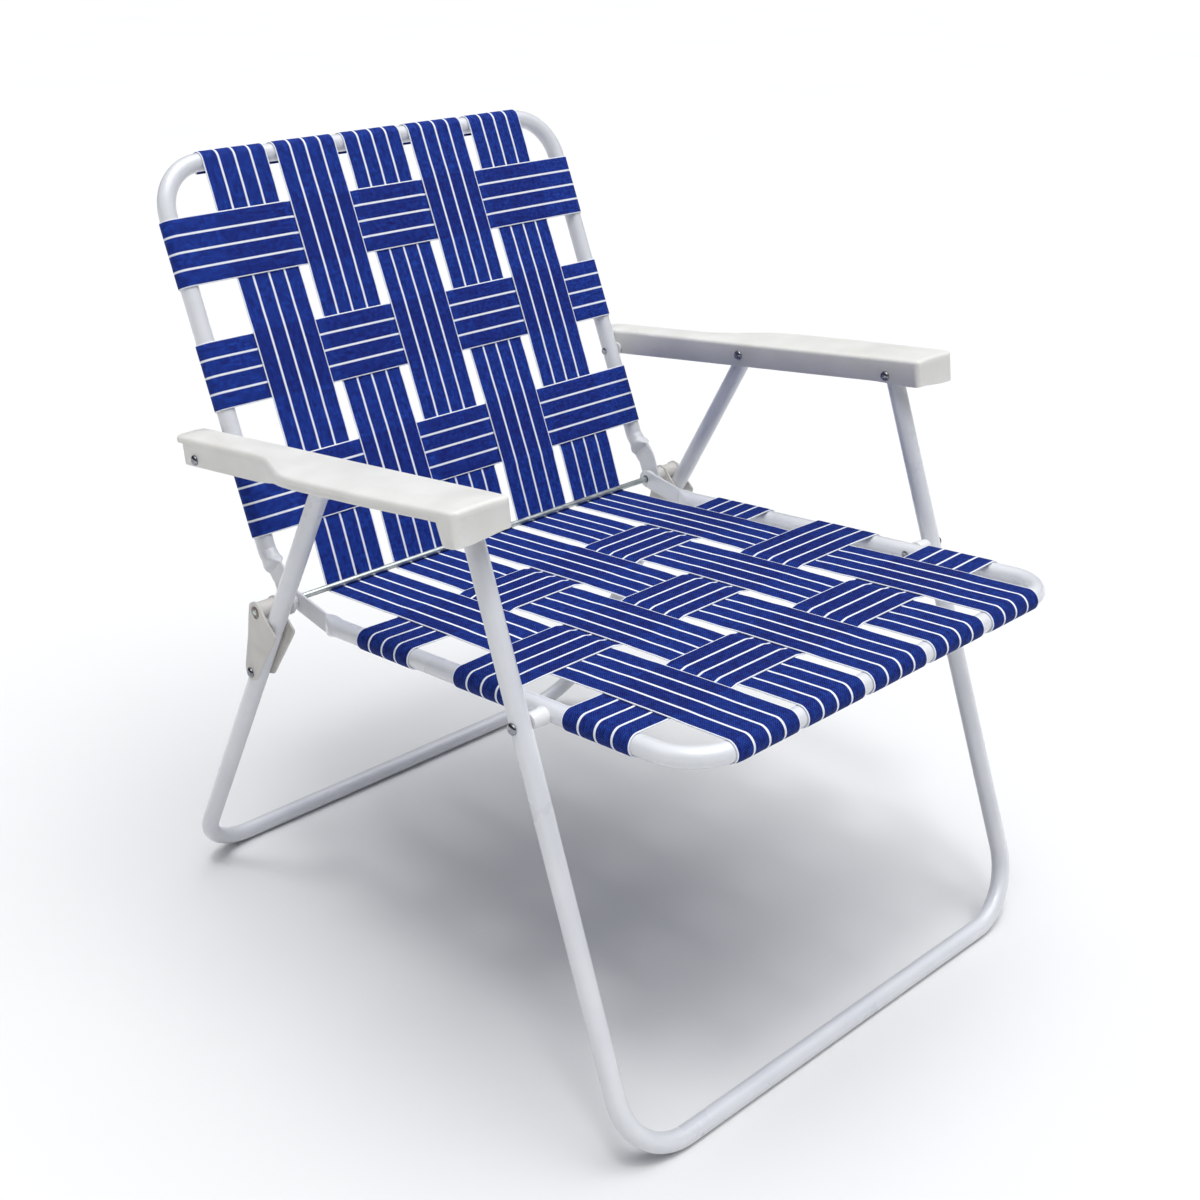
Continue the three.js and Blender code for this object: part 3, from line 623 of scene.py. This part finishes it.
def strap(name, to_point, path, low, high, seed, backed):
    """A flat woven band along a path of (p, n), with soft edges and a slight ripple.

    backed lists the stretches of p where another strap lies behind it."""
    width = high - low
    outline = strap_outline(width)
    points, uvs, shades, run = [], [], [], 0.0
    for i, (p, n) in enumerate(path):
        covered = any(start < p < end for start, end in backed)
        before, after = path[max(i - 1, 0)], path[min(i + 1, len(path) - 1)]
        size = math.hypot(after[0] - before[0], after[1] - before[1])
        normal = (-(after[1] - before[1]) / size, (after[0] - before[0]) / size)
        if i:
            run += math.hypot(p - path[i - 1][0], n - path[i - 1][1])
        for w, height in outline:
            spot = Vector((w / RIPPLE_ACROSS, run / RIPPLE_ALONG, seed * SEED_STEP))
            lift = height + RIPPLE * noise.noise(spot)
            points.append(to_point(p + lift * normal[0], n + lift * normal[1], low + w))
            uvs.append((w / width, run / UV_LENGTH + seed))
            shades.append(1.0 if covered else 0.0)
    count = len(outline)
    faces = []
    for k in range(len(path) - 1):
        faces += ring_faces(count, k * count, (k + 1) * count)
    for start in (0, (len(path) - 1) * count):
        faces += [
            (start + j, start + j + 1, start + count - 2 - j, start + count - 1 - j)
            for j in range(count // 2 - 1)
        ]
    piece = make(name, points, faces, sharp=60, uvs=uvs)
    layer = piece.data.attributes.new("backed", "FLOAT", "POINT")
    layer.data.foreach_set("value", shades)
    return piece


def strap_x(i):
    return (i - (LONG_COUNT - 1) / 2) * PITCH


def drift(body, i, p):
    return SEAT_DRIFT[i] * ramp(p, 0, SEAT_FRONT) ** DRIFT_CURVE if body == "seat" else 0.0


def slant(body, x):
    """The seat's cross straps lie a little further forward on one side."""
    return lerp(SLANT_LEFT, SLANT_RIGHT, (x + SEAT_HALF) / (2 * SEAT_HALF)) if body == "seat" else 0.0


def laid(body, i, p, x):
    """Where a long strap's point lies: moved by the drift, and round the bar's bent corners."""
    x += drift(body, i, p)
    if body == "seat":
        near_bar = smooth_step(ramp(p, SEAT_FRONT - CORNER_START, SEAT_FRONT - CORNER_END))
        p -= corner_inset(SEAT_HALF - abs(x), SEAT_CORNER) * near_bar
    return x, p


def crossings(sign, i):
    return sign * (-1 if i % 2 else 1)


def tail(centre, out, on, turn, length):
    """From a strap's end behind the tube, round the tube, to the front."""
    path = arc(centre, STRAP_LIFT, out, on, turn, 0)
    end, before = Vector(path[0]), Vector(path[1])
    step = (end - before).normalized()
    return [tuple(end + step * d) for d in (length, length / 2) if d] + path


def long_path(bar, drop, level, rows, width, firsts, index, rod_share):
    """From the bar's far side, over the bar, past the cross straps and round the hinge rod."""
    path = tail((bar, -drop), (0, 1), (1, 0), *LONG_TAIL)
    lifts = [-LONG_LIFT * crossings(first, index) for first in firsts]

    def height(p):
        best = 0.0
        for start, lift in zip(rows, lifts):
            end = start + width
            rising = ramp(p, start - SLOPE_FAR, start - SLOPE_NEAR)
            falling = 1 - ramp(p, end + SLOPE_NEAR, end + SLOPE_FAR)
            best += lift * smooth_step(min(rising, falling))
        return level + best

    stops = [lerp(bar, ROD_TILT, k / LONG_STEPS) for k in range(1, LONG_STEPS + 1)]
    edges = [start + edge for start in rows for edge in (0, width)]
    stops += [edge + d for edge in edges for d in (-EDGE_STEP, EDGE_STEP)]
    path += [(p, height(p)) for p in sorted(stops, reverse=True)]
    total = math.pi / 2 - BACK_LEAN + SEAT_RISE
    radius = ROD_R + GAP + STRAP_T / 2
    for k in range(1, ROD_STEPS):
        t = k / ROD_STEPS
        path.append((lerp(ROD_TILT, 0, t), lerp(level, -radius, t)))
    return path + arc((0, 0), radius, (0, -1), (-1, 0), 0, total * rod_share - GAP / 2 / ROD_R)


def cross_path(body, row, half, drop, level, first):
    """From one rail, over and under the long straps, to the other rail."""
    left = tail((-half, -drop), (0, 1), (-1, 0), *CROSS_TAIL)
    right = tail((half, -drop), (0, 1), (1, 0), *CROSS_TAIL)[::-1]
    reach = LONG_W / 2 + EDGE_STEP
    stops = [(-half, 0.0)]
    for i in range(LONG_COUNT):
        lift = CROSS_LIFT * crossings(first, i)
        middle_x = strap_x(i) + drift(body, i, row)
        stops += [(middle_x - reach, lift), (middle_x + reach, lift)]
    stops.append((half, 0.0))
    path = list(left)
    for (x0, h0), (x1, h1) in zip(stops, stops[1:]):
        count = FLAT_POINTS if h0 == h1 else SLOPE_POINTS
        for k in range(1, count + 1):
            t = k / count
            path.append((lerp(x0, x1, t), level + lerp(h0, h1, smooth_step(t))))
    return path[:-1] + right


def long_strap(body, side, i, path, seed, starts, width):
    low = strap_x(i) - LONG_W / 2
    return strap(
        f"{body}_long_webbing_{i + 1}", lambda p, n, w: place(side, *laid(body, i, p, w), n),
        path, low, low + LONG_W, seed, [(start, start + width) for start in starts],
    )


def cross_strap(body, side, i, path, seed, start, width):
    spots = [strap_x(k) + drift(body, k, start + width / 2) for k in range(LONG_COUNT)]
    reach = LONG_W / 2 + BACKED_MARGIN
    return strap(
        f"{body}_cross_webbing_{i + 1}", lambda p, n, w: place(side, p, w + slant(body, p), n),
        path, start, start + width, seed, [(x - reach, x + reach) for x in spots],
    )


def web(body, side, half, bar, drop, rows, width, firsts, rod_share, seed):
    """All the straps of the back or the seat."""
    level = STRAP_LIFT - drop
    for i in range(LONG_COUNT):
        starts = [start + slant(body, strap_x(i)) for start in rows]
        path = long_path(bar, drop, level, starts, width, firsts, i, rod_share)
        piece = long_strap(body, side, i, path, seed + i, starts, width)
        dress(piece, body, WEBBING[body], "webbing", f"{body}_strap_{i + 1}")
    for i, (start, first) in enumerate(zip(rows, firsts)):
        path = cross_path(body, start + width / 2, half, drop, level, first)
        piece = cross_strap(body, side, i, path, seed + LONG_COUNT + 1 + i, start, width)
        dress(piece, body, WEBBING[body], "webbing", f"{body}_cross_strap_{i + 1}")


web(
    "back", back_side, BACK_HALF, BACK_TOP, BACK_DROP, BACK_ROWS, BACK_CROSS_W, BACK_FIRST,
    rod_share=0.31, seed=0,
)
web(
    "seat", seat_side, SEAT_HALF, SEAT_FRONT, SEAT_DROP, SEAT_ROWS, SEAT_CROSS_W, SEAT_FIRST,
    rod_share=0.69, seed=11,
)

# Hinge rod, washers and rivets
SHANK_R = 2.5
TOUCH = 0.1
LIP = 1.7
SPACER_R, SPACER_BORE, SPACER_EDGE = 9.0, 3.5, 0.8
PIVOT_SPACER_R, PIVOT_SPACER_END_R, PIVOT_SPACER_EDGE = 8.5, 7.5, 0.9
WASHER_R, WASHER_BORE, WASHER_EDGE = 8.0, 2.8, 0.5
SUNK_IN_SEAT_RAIL, SUNK_IN_BACK_TUBE = 0.4, 0.6
ARM_HEAD_STAND, ARM_HEAD_SUNK = 0.2, 1.3
EDGE_SOFT_SHARE = 0.3
HEAD_UNDER_SHARE, HEAD_FLARE_SHARE, HEAD_FLARE = 0.96, 0.99, 0.15
HEAD_DEGREES, DOME_CURVE = range(8, 76, 8), 0.9
TAIL_BASE_SHARE, TAIL_END_SHARE, TAIL_BASE, TAIL_END = 0.9, 0.72, 0.35, 0.5
DIMPLE_DEPTH, DIMPLE_SHARE, DIMPLE_FLOOR_SHARE = 0.5, 0.17, 0.1
ROD_TIP = [(0.0, 2.3), (0.5, 3.0), (1.1, ROD_R)]
ROD_NUT, ROD_STICK_OUT = 1.2, 0.8
ROD_END = RECESS_FLOOR + GAP + ROD_NUT + ROD_STICK_OUT
NUT_PROFILE = [(0.2, 5.75), (0.6, 5.7), (1.3, 4.4), (1.5, 3.6), (1.1, 3.25), (0.2, 3.25)]


def sleeve_profile(x0, x1, r0, r1, bore, edge):
    """A sleeve from x0 to x1, with both outer edges broken."""
    sign = math.copysign(1, x1 - x0)
    soft = edge * EDGE_SOFT_SHARE
    return [
        (x0, r0 - edge), (x0 + sign * soft, r0 - soft), (x0 + sign * edge, r0),
        (x1 - sign * edge, r1), (x1 - sign * soft, r1 - soft), (x1, r1 - edge),
        (x1, bore), (x0, bore),
    ]


def head_profile(x, sign, radius=5.5, height=3.4, rim=0.5, sunk=0.0):
    """A domed head with a small dimple in its crown, from the crown to the surface at x."""
    profile = [(-sunk, radius * HEAD_UNDER_SHARE), (HEAD_FLARE, radius * HEAD_FLARE_SHARE), (rim, radius)]
    for degrees in HEAD_DEGREES:
        a = math.radians(degrees)
        profile.append((rim + (height - rim) * math.sin(a), radius * math.cos(a) ** DOME_CURVE))
    profile += [(height, radius * DIMPLE_SHARE), (height - DIMPLE_DEPTH, radius * DIMPLE_FLOOR_SHARE)]
    return [(x + sign * out, r) for out, r in profile[::-1]]


def tail_profile(x, sign, radius=4.0, height=1.6):
    """A rivet's upset end, from the surface at x outwards."""
    profile = [(0.0, radius * TAIL_BASE_SHARE), (TAIL_BASE, radius)]
    profile += [(height - TAIL_END, radius), (height, radius * TAIL_END_SHARE)]
    return [(x + sign * out, r) for out, r in profile]


def shank(start, end):
    return [(start, SHANK_R), (end, SHANK_R)]


def rivet(body, name, node, centre, *profiles):
    profile = [point for part in profiles for point in part]
    pair(lambda label: turned(label, centre, profile), body, STEEL, "rivet_steel", name, node)


def bushing(body, name, node, centre, profile):
    pair(lambda label: turned(label, centre, profile, True), body, BUSHING, "white_plastic", name, node)


rod_profile = [(d - ROD_END, r) for d, r in ROD_TIP] + [(ROD_END - d, r) for d, r in ROD_TIP[::-1]]
rod = turned("hinge_rod_steel", HINGE, rod_profile, sharp=50)
dress(rod, "back", ZINC, "zinc", "hinge_rod")

seat_face, back_face = SEAT_HALF + TAB_THICK / 2, BACK_HALF - TAB_THICK / 2
rail_inner, rail_outer = SEAT_HALF - TUBE_R, SEAT_HALF + TUBE_R
back_inner, back_outer = BACK_HALF - TUBE_R, BACK_HALF + TUBE_R
arm_outer_x = ARM_INNER_X + ARM_REAR_W - LIP / 4
bushing(
    "back", "hinge_bushing", "hinge_spacer", HINGE,
    sleeve_profile(seat_face + TOUCH, back_face - TOUCH, SPACER_R, SPACER_R, SPACER_BORE, SPACER_EDGE),
)
nut_profile = [(RECESS_FLOOR + d, r) for d, r in NUT_PROFILE]
pair(lambda label: turned(label, HINGE, nut_profile, True), "back", NUT, "zinc", "push_on_nut", "push_nut")
bushing(
    "seat", "pivot_bushing", "seat_pivot_spacer", SEAT_PIVOT,
    sleeve_profile(
        rail_outer - SUNK_IN_SEAT_RAIL, LEG_INNER - TOUCH,
        PIVOT_SPACER_R, PIVOT_SPACER_END_R, WASHER_BORE, PIVOT_SPACER_EDGE,
    ),
)
rivet(
    "seat", "pivot_rivet_tail", "seat_pivot_rivet", SEAT_PIVOT,
    tail_profile(rail_inner - TOUCH, -1)[::-1], shank(rail_inner, LEG_INNER - GAP),
)
rivet(
    "front_leg", "pivot_rivet_head", "leg_pivot_rivet", SEAT_PIVOT,
    head_profile(LEG_OUTER - TOUCH, 1), shank(LEG_OUTER, LEG_INNER),
)
rivet(
    "armrests", "arm_rear_pin", "arm_rear_rivet", ARM_REAR,
    head_profile(arm_outer_x + ARM_HEAD_STAND, 1, sunk=ARM_HEAD_SUNK), shank(arm_outer_x, back_inner),
    tail_profile(back_inner - TOUCH, -1),
)
for spot, centre in (("middle", ARM_MIDDLE), ("front", ARM_FRONT)):
    rivet(
        "armrests", f"arm_{spot}_pin", f"arm_{spot}_rivet", centre,
        head_profile(ARM_INNER_X - TOUCH, -1), shank(ARM_INNER_X, LEG_OUTER),
        tail_profile(LEG_OUTER + TOUCH, 1),
    )
bushing(
    "armrests", "arm_bushing", "arm_rear_washer", ARM_REAR,
    sleeve_profile(
        back_outer - SUNK_IN_BACK_TUBE, ARM_INNER_X - TOUCH, WASHER_R, WASHER_R, WASHER_BORE, WASHER_EDGE,
    ),
)
rivet(
    "brackets", "bracket_pin", "bracket_rivet", BRACKET_PIVOT,
    head_profile(BRACKET_OUTER - TOUCH, 1), shank(BRACKET_OUTER, LEG_OUTER + GAP),
)
rivet(
    "brackets", "bracket_pin_tail", "bracket_rivet_tail", BRACKET_PIVOT,
    tail_profile(BRACKET_INNER - TOUCH, -1)[::-1], shank(BRACKET_INNER, LEG_INNER - GAP),
)

# Armrests: u runs from the rear end, ARM_U0, to the front end, ARM_U1
ARM_LENGTH = ARM_U1 - ARM_U0
SOFTEN, TABLE_MARGIN = 22, 60.0
REAR_STEP = 13.0
REAR_CORNERS, FRONT_CORNERS = (6, 10), (5, 7)
SKIRT_REAR_CORNERS, HOLLOW_REAR_CORNERS = (3, 5), (2, 3)
SKIRT_FRONT_CORNERS, HOLLOW_FRONT_CORNERS = (4.5, 6.5), (3, 5)
NEAR = [0.0, 0.12, 0.4, 0.85, 1.5, 2.3, 3.3, 4.5]
REAR_PLACES = [*NEAR, 6.2, 8.2, 11.0, 15.0, 20.0]
RETURN_STEPS = [3.6, 2.4, 1.4, 0.7, 0.2, 0.0, -0.3]
FRONT_PLACES = [*NEAR, 6.5, 9.0, 12.0, *(ARM_RETURN - d for d in RETURN_STEPS), 22.0]
MIDDLE_START = 28.0
ARM_COLUMNS, ARM_ROWS = 12, 60
ARM_ROUND = 3.6
CROWN_END_SHARE, CROWN_END = 0.35, 22.0
APRON_BLEND, RETURN_ROUND = 45.0, 4.0
INNER_SAG, SAG_START, SAG_END = 2.5, 60.0, 10.0
LIP_REAR_SHARE, LIP_FADE_START, LIP_FADE_END = 0.25, 40.0, 19.0
RIM_DROP, LIP_DROP, SKIRT_DROP = 5.6, 6.1, 6.3
CEILING_DROP, CEILING_EDGE_DROP = 3.2, 3.4
SKIRT_ROUND, MIDDLE_MARGIN = 0.7, 0.01
LIP_REAR_IN, LIP_FRONT_IN, LIP_SIDE_IN = 0.5, 0.05, 0.4
SKIRT_FRONT_IN, EDGE_IN, EDGE_FRONT_IN = 0.1, 0.5, 0.8
RIM_WALL, RIM_FRONT_WALL, FRONT_WALL = 2.2, 2.5, 2.8


def smooth_table(pairs):
    """A table of (share of the arm's length, value), sampled each millimetre and softened."""
    grid = np.arange(-TABLE_MARGIN, ARM_LENGTH + TABLE_MARGIN)
    raw = np.interp(grid, [share * ARM_LENGTH for share, _ in pairs], [value for _, value in pairs])
    kernel = np.hanning(SOFTEN + 2)[1:-1]
    soft = np.convolve(raw, kernel / kernel.sum(), mode="same")
    return lambda u: float(np.interp(u - ARM_U0, grid, soft))


# The outer edge bulges from the rear width to the shoulder's, and its skirt gets shallower there.
outer_share = smooth_table([
    (0, 0), (0.31, 0), (0.36, 0.12), (0.422, 0.5), (0.48, 0.88), (0.53, 1),
    (0.75, 0.97), (0.9, 0.86), (1, 0.75),
])
outer_depth_share = smooth_table([
    (0, 1), (0.31, 1), (0.36, 0.88), (0.42, 0.62), (0.475, 0.45), (0.53, 0.4), (1, 0.4),
])


def arm_level(u):
    """Height of the top over the pivots: it climbs a little towards the rear."""
    return ARM_TOP + ARM_REAR_RISE * (ARM_U1 - u) / ARM_LENGTH


def arm_edges(u, u0, u1, rear, front):
    """Inner and outer X of the plan at u. rear and front are the corner radii (inner, outer)."""
    inner = ARM_INNER_X + corner_inset(u - u0, rear[0]) + corner_inset(u1 - u, front[0])
    outer = ARM_INNER_X + ARM_REAR_W + outer_share(u) * (ARM_SHOULDER_W - ARM_REAR_W)
    return inner, outer - corner_inset(u - u0, rear[1]) - corner_inset(u1 - u, front[1])


def arm_stations():
    """Places along the arm, close together at both ends and where the apron returns."""
    mid = list(np.linspace(MIDDLE_START, ARM_LENGTH - MIDDLE_START, ARM_ROWS))
    return [ARM_U0 + d for d in REAR_PLACES + mid] + [ARM_U1 - d for d in FRONT_PLACES[::-1]]


def across_row(inner, outer):
    """Places across the arm, close together at both edges."""
    span = outer - inner - 2 * NEAR[-1]
    mid = [inner + NEAR[-1] + span * k / ARM_COLUMNS for k in range(1, ARM_COLUMNS)]
    return [inner + d for d in NEAR] + mid + [outer - d for d in NEAR[::-1]]


def arm_top(x, u, inner, outer):
    """Height of the crowned top, rounded off at its outline."""
    from_end = min(u - ARM_U0, ARM_U1 - u)
    fall = corner_inset(min(x - inner, outer - x, from_end), ARM_ROUND)
    t = (x - inner) / (outer - inner)
    crown = ARM_CROWN * lerp(CROWN_END_SHARE, 1, smooth_step(ramp(from_end, 0, CROWN_END)))
    return arm_level(u) - fall + crown * 4 * t * (1 - t)


def skirt_bottom(x, u, inner, outer):
    """How low the skirt hangs at a point of its outline. The very middle counts as the inner half."""
    near_outer = x - inner > (outer - inner) / 2 + MIDDLE_MARGIN
    from_front = ARM_U1 - u
    inside = ARM_INNER_DEPTH + INNER_SAG * smooth_step(ramp(-from_front, -SAG_START, -SAG_END))
    if from_front < ARM_RETURN:
        deep = lerp(inside, ARM_FRONT_DEPTH, smooth_step((x - inner) / APRON_BLEND))
        rise = corner_inset(ARM_RETURN - from_front, RETURN_ROUND) if near_outer else 0.0
        return ARM_TOP - deep + rise
    if near_outer:
        return ARM_TOP - ARM_OUTER_DEPTH * outer_depth_share(u)
    return ARM_TOP - inside


def below(drop):
    """A height function: so far under the level of the arm's top."""
    return lambda x, u, inner, outer: arm_level(u) - drop


def above_skirt(rise):
    """A height function: so far above the skirt's bottom."""
    return lambda x, u, inner, outer: skirt_bottom(x, u, inner, outer) + rise


def arm_plan(rear_in, front_in, side_in, lip, rear, front):
    """The grid of places of a plan that is smaller all round."""
    start, end = ARM_U0 + rear_in, ARM_U1 - front_in
    made = []
    for u in arm_stations():
        v = lerp(start, end, (u - ARM_U0) / ARM_LENGTH)
        inner, outer = arm_edges(v, start, end, rear, front)
        fade = 1 - smooth_step(ramp(v, ARM_U1 - LIP_FADE_START, ARM_U1 - LIP_FADE_END))
        lip_here = lip * lerp(LIP_REAR_SHARE, 1, outer_share(v)) * fade
        inner, outer = inner + side_in, outer - side_in - lip_here
        made.append([(x, v, inner, outer) for x in across_row(inner, outer)])
    return made


def armrest(name):
    """Crowned top, then a lip, the skirt outside and in, and the ceiling of the hollow."""
    top = arm_plan(0, 0, 0, 0, REAR_CORNERS, FRONT_CORNERS)
    lip_in = arm_plan(LIP_REAR_IN, LIP_FRONT_IN, 0, LIP_SIDE_IN, REAR_CORNERS, FRONT_CORNERS)
    skirt = arm_plan(REAR_STEP, SKIRT_FRONT_IN, 0, LIP, SKIRT_REAR_CORNERS, FRONT_CORNERS)
    skirt_low = arm_plan(
        REAR_STEP + EDGE_IN, EDGE_FRONT_IN, EDGE_IN, LIP, SKIRT_REAR_CORNERS, SKIRT_FRONT_CORNERS,
    )
    hollow_low = arm_plan(
        REAR_STEP + RIM_WALL, RIM_FRONT_WALL, RIM_WALL, LIP, HOLLOW_REAR_CORNERS, HOLLOW_FRONT_CORNERS,
    )
    hollow = arm_plan(
        REAR_STEP + ARM_WALL, FRONT_WALL, ARM_WALL, LIP, HOLLOW_REAR_CORNERS, HOLLOW_FRONT_CORNERS,
    )
    rows, columns = len(top), len(top[0])
    # The outline as (row, column) places, once round
    loop = [(k, 0) for k in range(rows)]
    loop += [(rows - 1, j) for j in range(1, columns)]
    loop += [(k, columns - 1) for k in range(rows - 2, -1, -1)]
    loop += [(0, j) for j in range(columns - 2, 0, -1)]
    points, faces = [], []

    def add(spot, height):
        x, u, inner, outer = spot
        points.append(place(arm_side, x, u, height(x, u, inner, outer)))
        return len(points) - 1

    def ring(plan, height):
        return [add(plan[k][j], height) for k, j in loop]

    grid = [[add(spot, arm_top) for spot in row] for row in top]
    for a, b in zip(grid, grid[1:]):
        faces += [(a[j], a[j + 1], b[j + 1], b[j]) for j in range(columns - 1)]
    rings = [
        [grid[k][j] for k, j in loop],
        ring(top, below(RIM_DROP)),
        ring(lip_in, below(LIP_DROP)),
        ring(skirt, below(SKIRT_DROP)),
        ring(skirt, above_skirt(SKIRT_ROUND)),
        ring(skirt_low, skirt_bottom),
        ring(hollow_low, skirt_bottom),
        ring(hollow, below(CEILING_EDGE_DROP)),
    ]
    for a, b in zip(rings, rings[1:]):
        faces += [(a[i], a[(i + 1) % len(a)], b[(i + 1) % len(b)], b[i]) for i in range(len(a))]
    edge = dict(zip(loop, rings[-1]))
    ceiling = [
        [edge[k, j] if (k, j) in edge else add(hollow[k][j], below(CEILING_DROP)) for j in range(columns)]
        for k in range(rows)
    ]
    for a, b in zip(ceiling, ceiling[1:]):
        faces += [(a[j], b[j], b[j + 1], a[j + 1]) for j in range(columns - 1)]
    return make(name, points, faces, sharp=38)


pair(armrest, "armrests", MOULDING, "moulding", "arm_moulding", "armrest")

# Brackets: the plate's corners are shares of the reach from the hinge to the bracket's rivet
BRACKET_SHARES = [
    (-0.06, -0.15), (-0.15, -0.05), (-0.15, 0.06), (-0.06, 0.17), (0.11, 0.48), (0.18, 0.47),
    (0.92, 0.17), (1.06, 0.12), (1.12, 0.02), (1.1, -0.07), (1.02, -0.13), (0.92, -0.14),
    (0.45, -0.13), (0.12, -0.15),
]
BRACKET_ROUND, CUT_BACK_SHARE = 2.6, 0.45
ROUND_SHARES = (0.0, 0.33, 0.67, 1.0)
PLATE_EDGE = [(0.0, 0.7), (0.2, 0.2), (0.7, 0.0)]
RECESS_R, RECESS_MOUTH_R, RECESS_OVERRUN = 7.0, 7.2, 3.0
BOSS_R, BOSS_END_R, BOSS_NECK_R, FLARE_R = 9.5, 8.9, 9.9, 10.6
BOSS_EDGE, BOSS_LEAD, BOSS_OVERRUN = 0.6, 0.2, 1.0
FLARE_LENGTH, INNER_NECK, OUTER_NECK = 1.2, 0.4, 0.3


def rounded_outline(corners, reach):
    """Corners cut back a little and rounded."""
    points = [Vector(c) for c in corners]
    made = []
    for i, point in enumerate(points):
        before, after = points[i - 1], points[(i + 1) % len(points)]
        a = point + (before - point).normalized() * min(reach, (before - point).length * CUT_BACK_SHARE)
        b = point + (after - point).normalized() * min(reach, (after - point).length * CUT_BACK_SHARE)
        for t in ROUND_SHARES:
            made.append(a * (1 - t) ** 2 + point * 2 * t * (1 - t) + b * t * t)
    return made


def inset_outline(outline, amount):
    made = []
    for i, point in enumerate(outline):
        tangent = (outline[(i + 1) % len(outline)] - outline[i - 1]).normalized()
        made.append(point + Vector((-tangent.y, tangent.x)) * amount)
    return made


def bracket_plate(name, x0, x1):
    corners = [(a * BRACKET_REACH, o * BRACKET_REACH) for a, o in BRACKET_SHARES]
    outline = rounded_outline(corners, BRACKET_ROUND)
    area = sum(p.x * q.y - q.x * p.y for p, q in zip(outline, outline[1:] + outline[:1]))
    inward = math.copysign(1, area)
    places = [(x0 + d, inset) for d, inset in PLATE_EDGE]
    places += [(x1 - d, inset) for d, inset in PLATE_EDGE[::-1]]
    rings = []
    for x, inset in places:
        ring = inset_outline(outline, inset * inward)
        rings.append([place(bracket_side, x, p.x, p.y) for p in ring])
    return skin(name, rings)


def bracket(name):
    """Two plates on a boss that flares where it meets each of them."""
    inner = bracket_plate("inner_plate", BRACKET_INNER, LEG_INNER - GAP)
    outer = bracket_plate("outer_plate", LEG_OUTER + GAP, BRACKET_OUTER)
    recess_mouth = (BRACKET_OUTER + RECESS_OVERRUN, RECESS_MOUTH_R)
    outer = cut(outer, turned("recess", HINGE, [(RECESS_FLOOR, RECESS_R), recess_mouth]))
    start = BACK_HALF + TAB_THICK / 2 + TOUCH
    profile = [
        (start, BOSS_END_R), (start + BOSS_EDGE, BOSS_R),
        (BRACKET_INNER - BOSS_LEAD, BOSS_R), (BRACKET_INNER, BOSS_R),
        (LEG_INNER - GAP, FLARE_R), (LEG_INNER + INNER_NECK, BOSS_NECK_R),
        (LEG_INNER + FLARE_LENGTH, BOSS_R), (LEG_OUTER - FLARE_LENGTH, BOSS_R),
        (LEG_OUTER - OUTER_NECK, BOSS_NECK_R),
        (LEG_OUTER + GAP + TOUCH, FLARE_R), (LEG_OUTER + GAP + BOSS_OVERRUN, BOSS_R),
    ]
    boss = turned("boss", HINGE, profile, count=56, sharp=50)
    return join(name, [inner, outer, boss])


pair(bracket, "brackets", SHADED_MOULDING, "moulding", "bracket_moulding", "bracket")

# Floor, light and camera, in metres
FLOOR_HALF, FLOOR_Z = 30.0, -0.0005
DOME_TOP, DOME_FOCUS = (0.10, -0.12, 0.98), 3.0
DOME_STRENGTH, DOME_BASE, BACKDROP = 1.7, 0.05, 1.0
DOME_COLOUR = (0.95, 0.97, 1.0, 1)
CAMERA_PLACE, CAMERA_TURN = (-1.1065, -1.17293, 1.07695), (69.0922, 0.5846, -43.5002)


def floor_material():
    t = new_material("pale_floor")
    cloud = t.noise(t.place(), scale=1.5, detail=2.0)
    t.set(Base_Color=t.mix(t.range(cloud, MIDTONES), (0.755, 0.755, 0.755, 1), (0.775, 0.775, 0.775, 1)))
    t.set(Roughness=0.9, Specular_IOR_Level=0.1)
    return t.holder


def studio_world():
    """A dome that is brightest overhead. Seen directly, past the floor's edge, it is plain and pale."""
    t = Tree(bpy.data.worlds.new("studio"))
    towards = t.node("ShaderNodeTexCoord").outputs["Generated"]
    facing = t.node("ShaderNodeVectorMath", {0: towards, 1: DOME_TOP}, operation="DOT_PRODUCT")
    dome = t.math("POWER", t.math("MAXIMUM", facing.outputs["Value"], 0.0), DOME_FOCUS)
    light = t.math("MULTIPLY_ADD", dome, DOME_STRENGTH, DOME_BASE)
    seen = t.node("ShaderNodeLightPath").outputs["Is Camera Ray"]
    strength = t.node("ShaderNodeMix", {"Factor": seen, "A": light, "B": BACKDROP}).outputs["Result"]
    background = t.tree.nodes["Background"]
    t.feed(background.inputs["Strength"], strength)
    t.feed(background.inputs["Color"], DOME_COLOUR)
    return t.holder


def sun_light(name, towards, strength, spread):
    data = bpy.data.lights.new(name, "SUN")
    data.energy, data.angle = strength, math.radians(spread)
    lamp = link(name, data)
    lamp.rotation_mode = "QUATERNION"
    lamp.rotation_quaternion = (-Vector(towards)).to_track_quat("-Z", "Y")


def photo_camera():
    data = bpy.data.cameras.new("photo_camera")
    data.lens, data.sensor_width = 50.47, 36.0
    data.shift_y = -0.0773
    data.clip_end = 100.0
    camera = link("photo_camera", data)
    turn = Euler([math.radians(degrees) for degrees in CAMERA_TURN])
    camera.matrix_world = Matrix.Translation(CAMERA_PLACE) @ turn.to_matrix().to_4x4()
    return camera


floor_corners = [(-1, -1), (1, -1), (1, 1), (-1, 1)]
floor = make("floor", [(a * FLOOR_HALF, b * FLOOR_HALF, FLOOR_Z) for a, b in floor_corners], [(0, 1, 2, 3)])
floor.data.materials.append(floor_material())
scene.world = studio_world()
sun_light("overhead", (0.04, -0.22, 1.0), strength=1.65, spread=62)
sun_light("lamp", (-0.24, -0.20, 1.0), strength=0.5, spread=9)
scene.camera = photo_camera()
scene.view_settings.view_transform = "Standard"
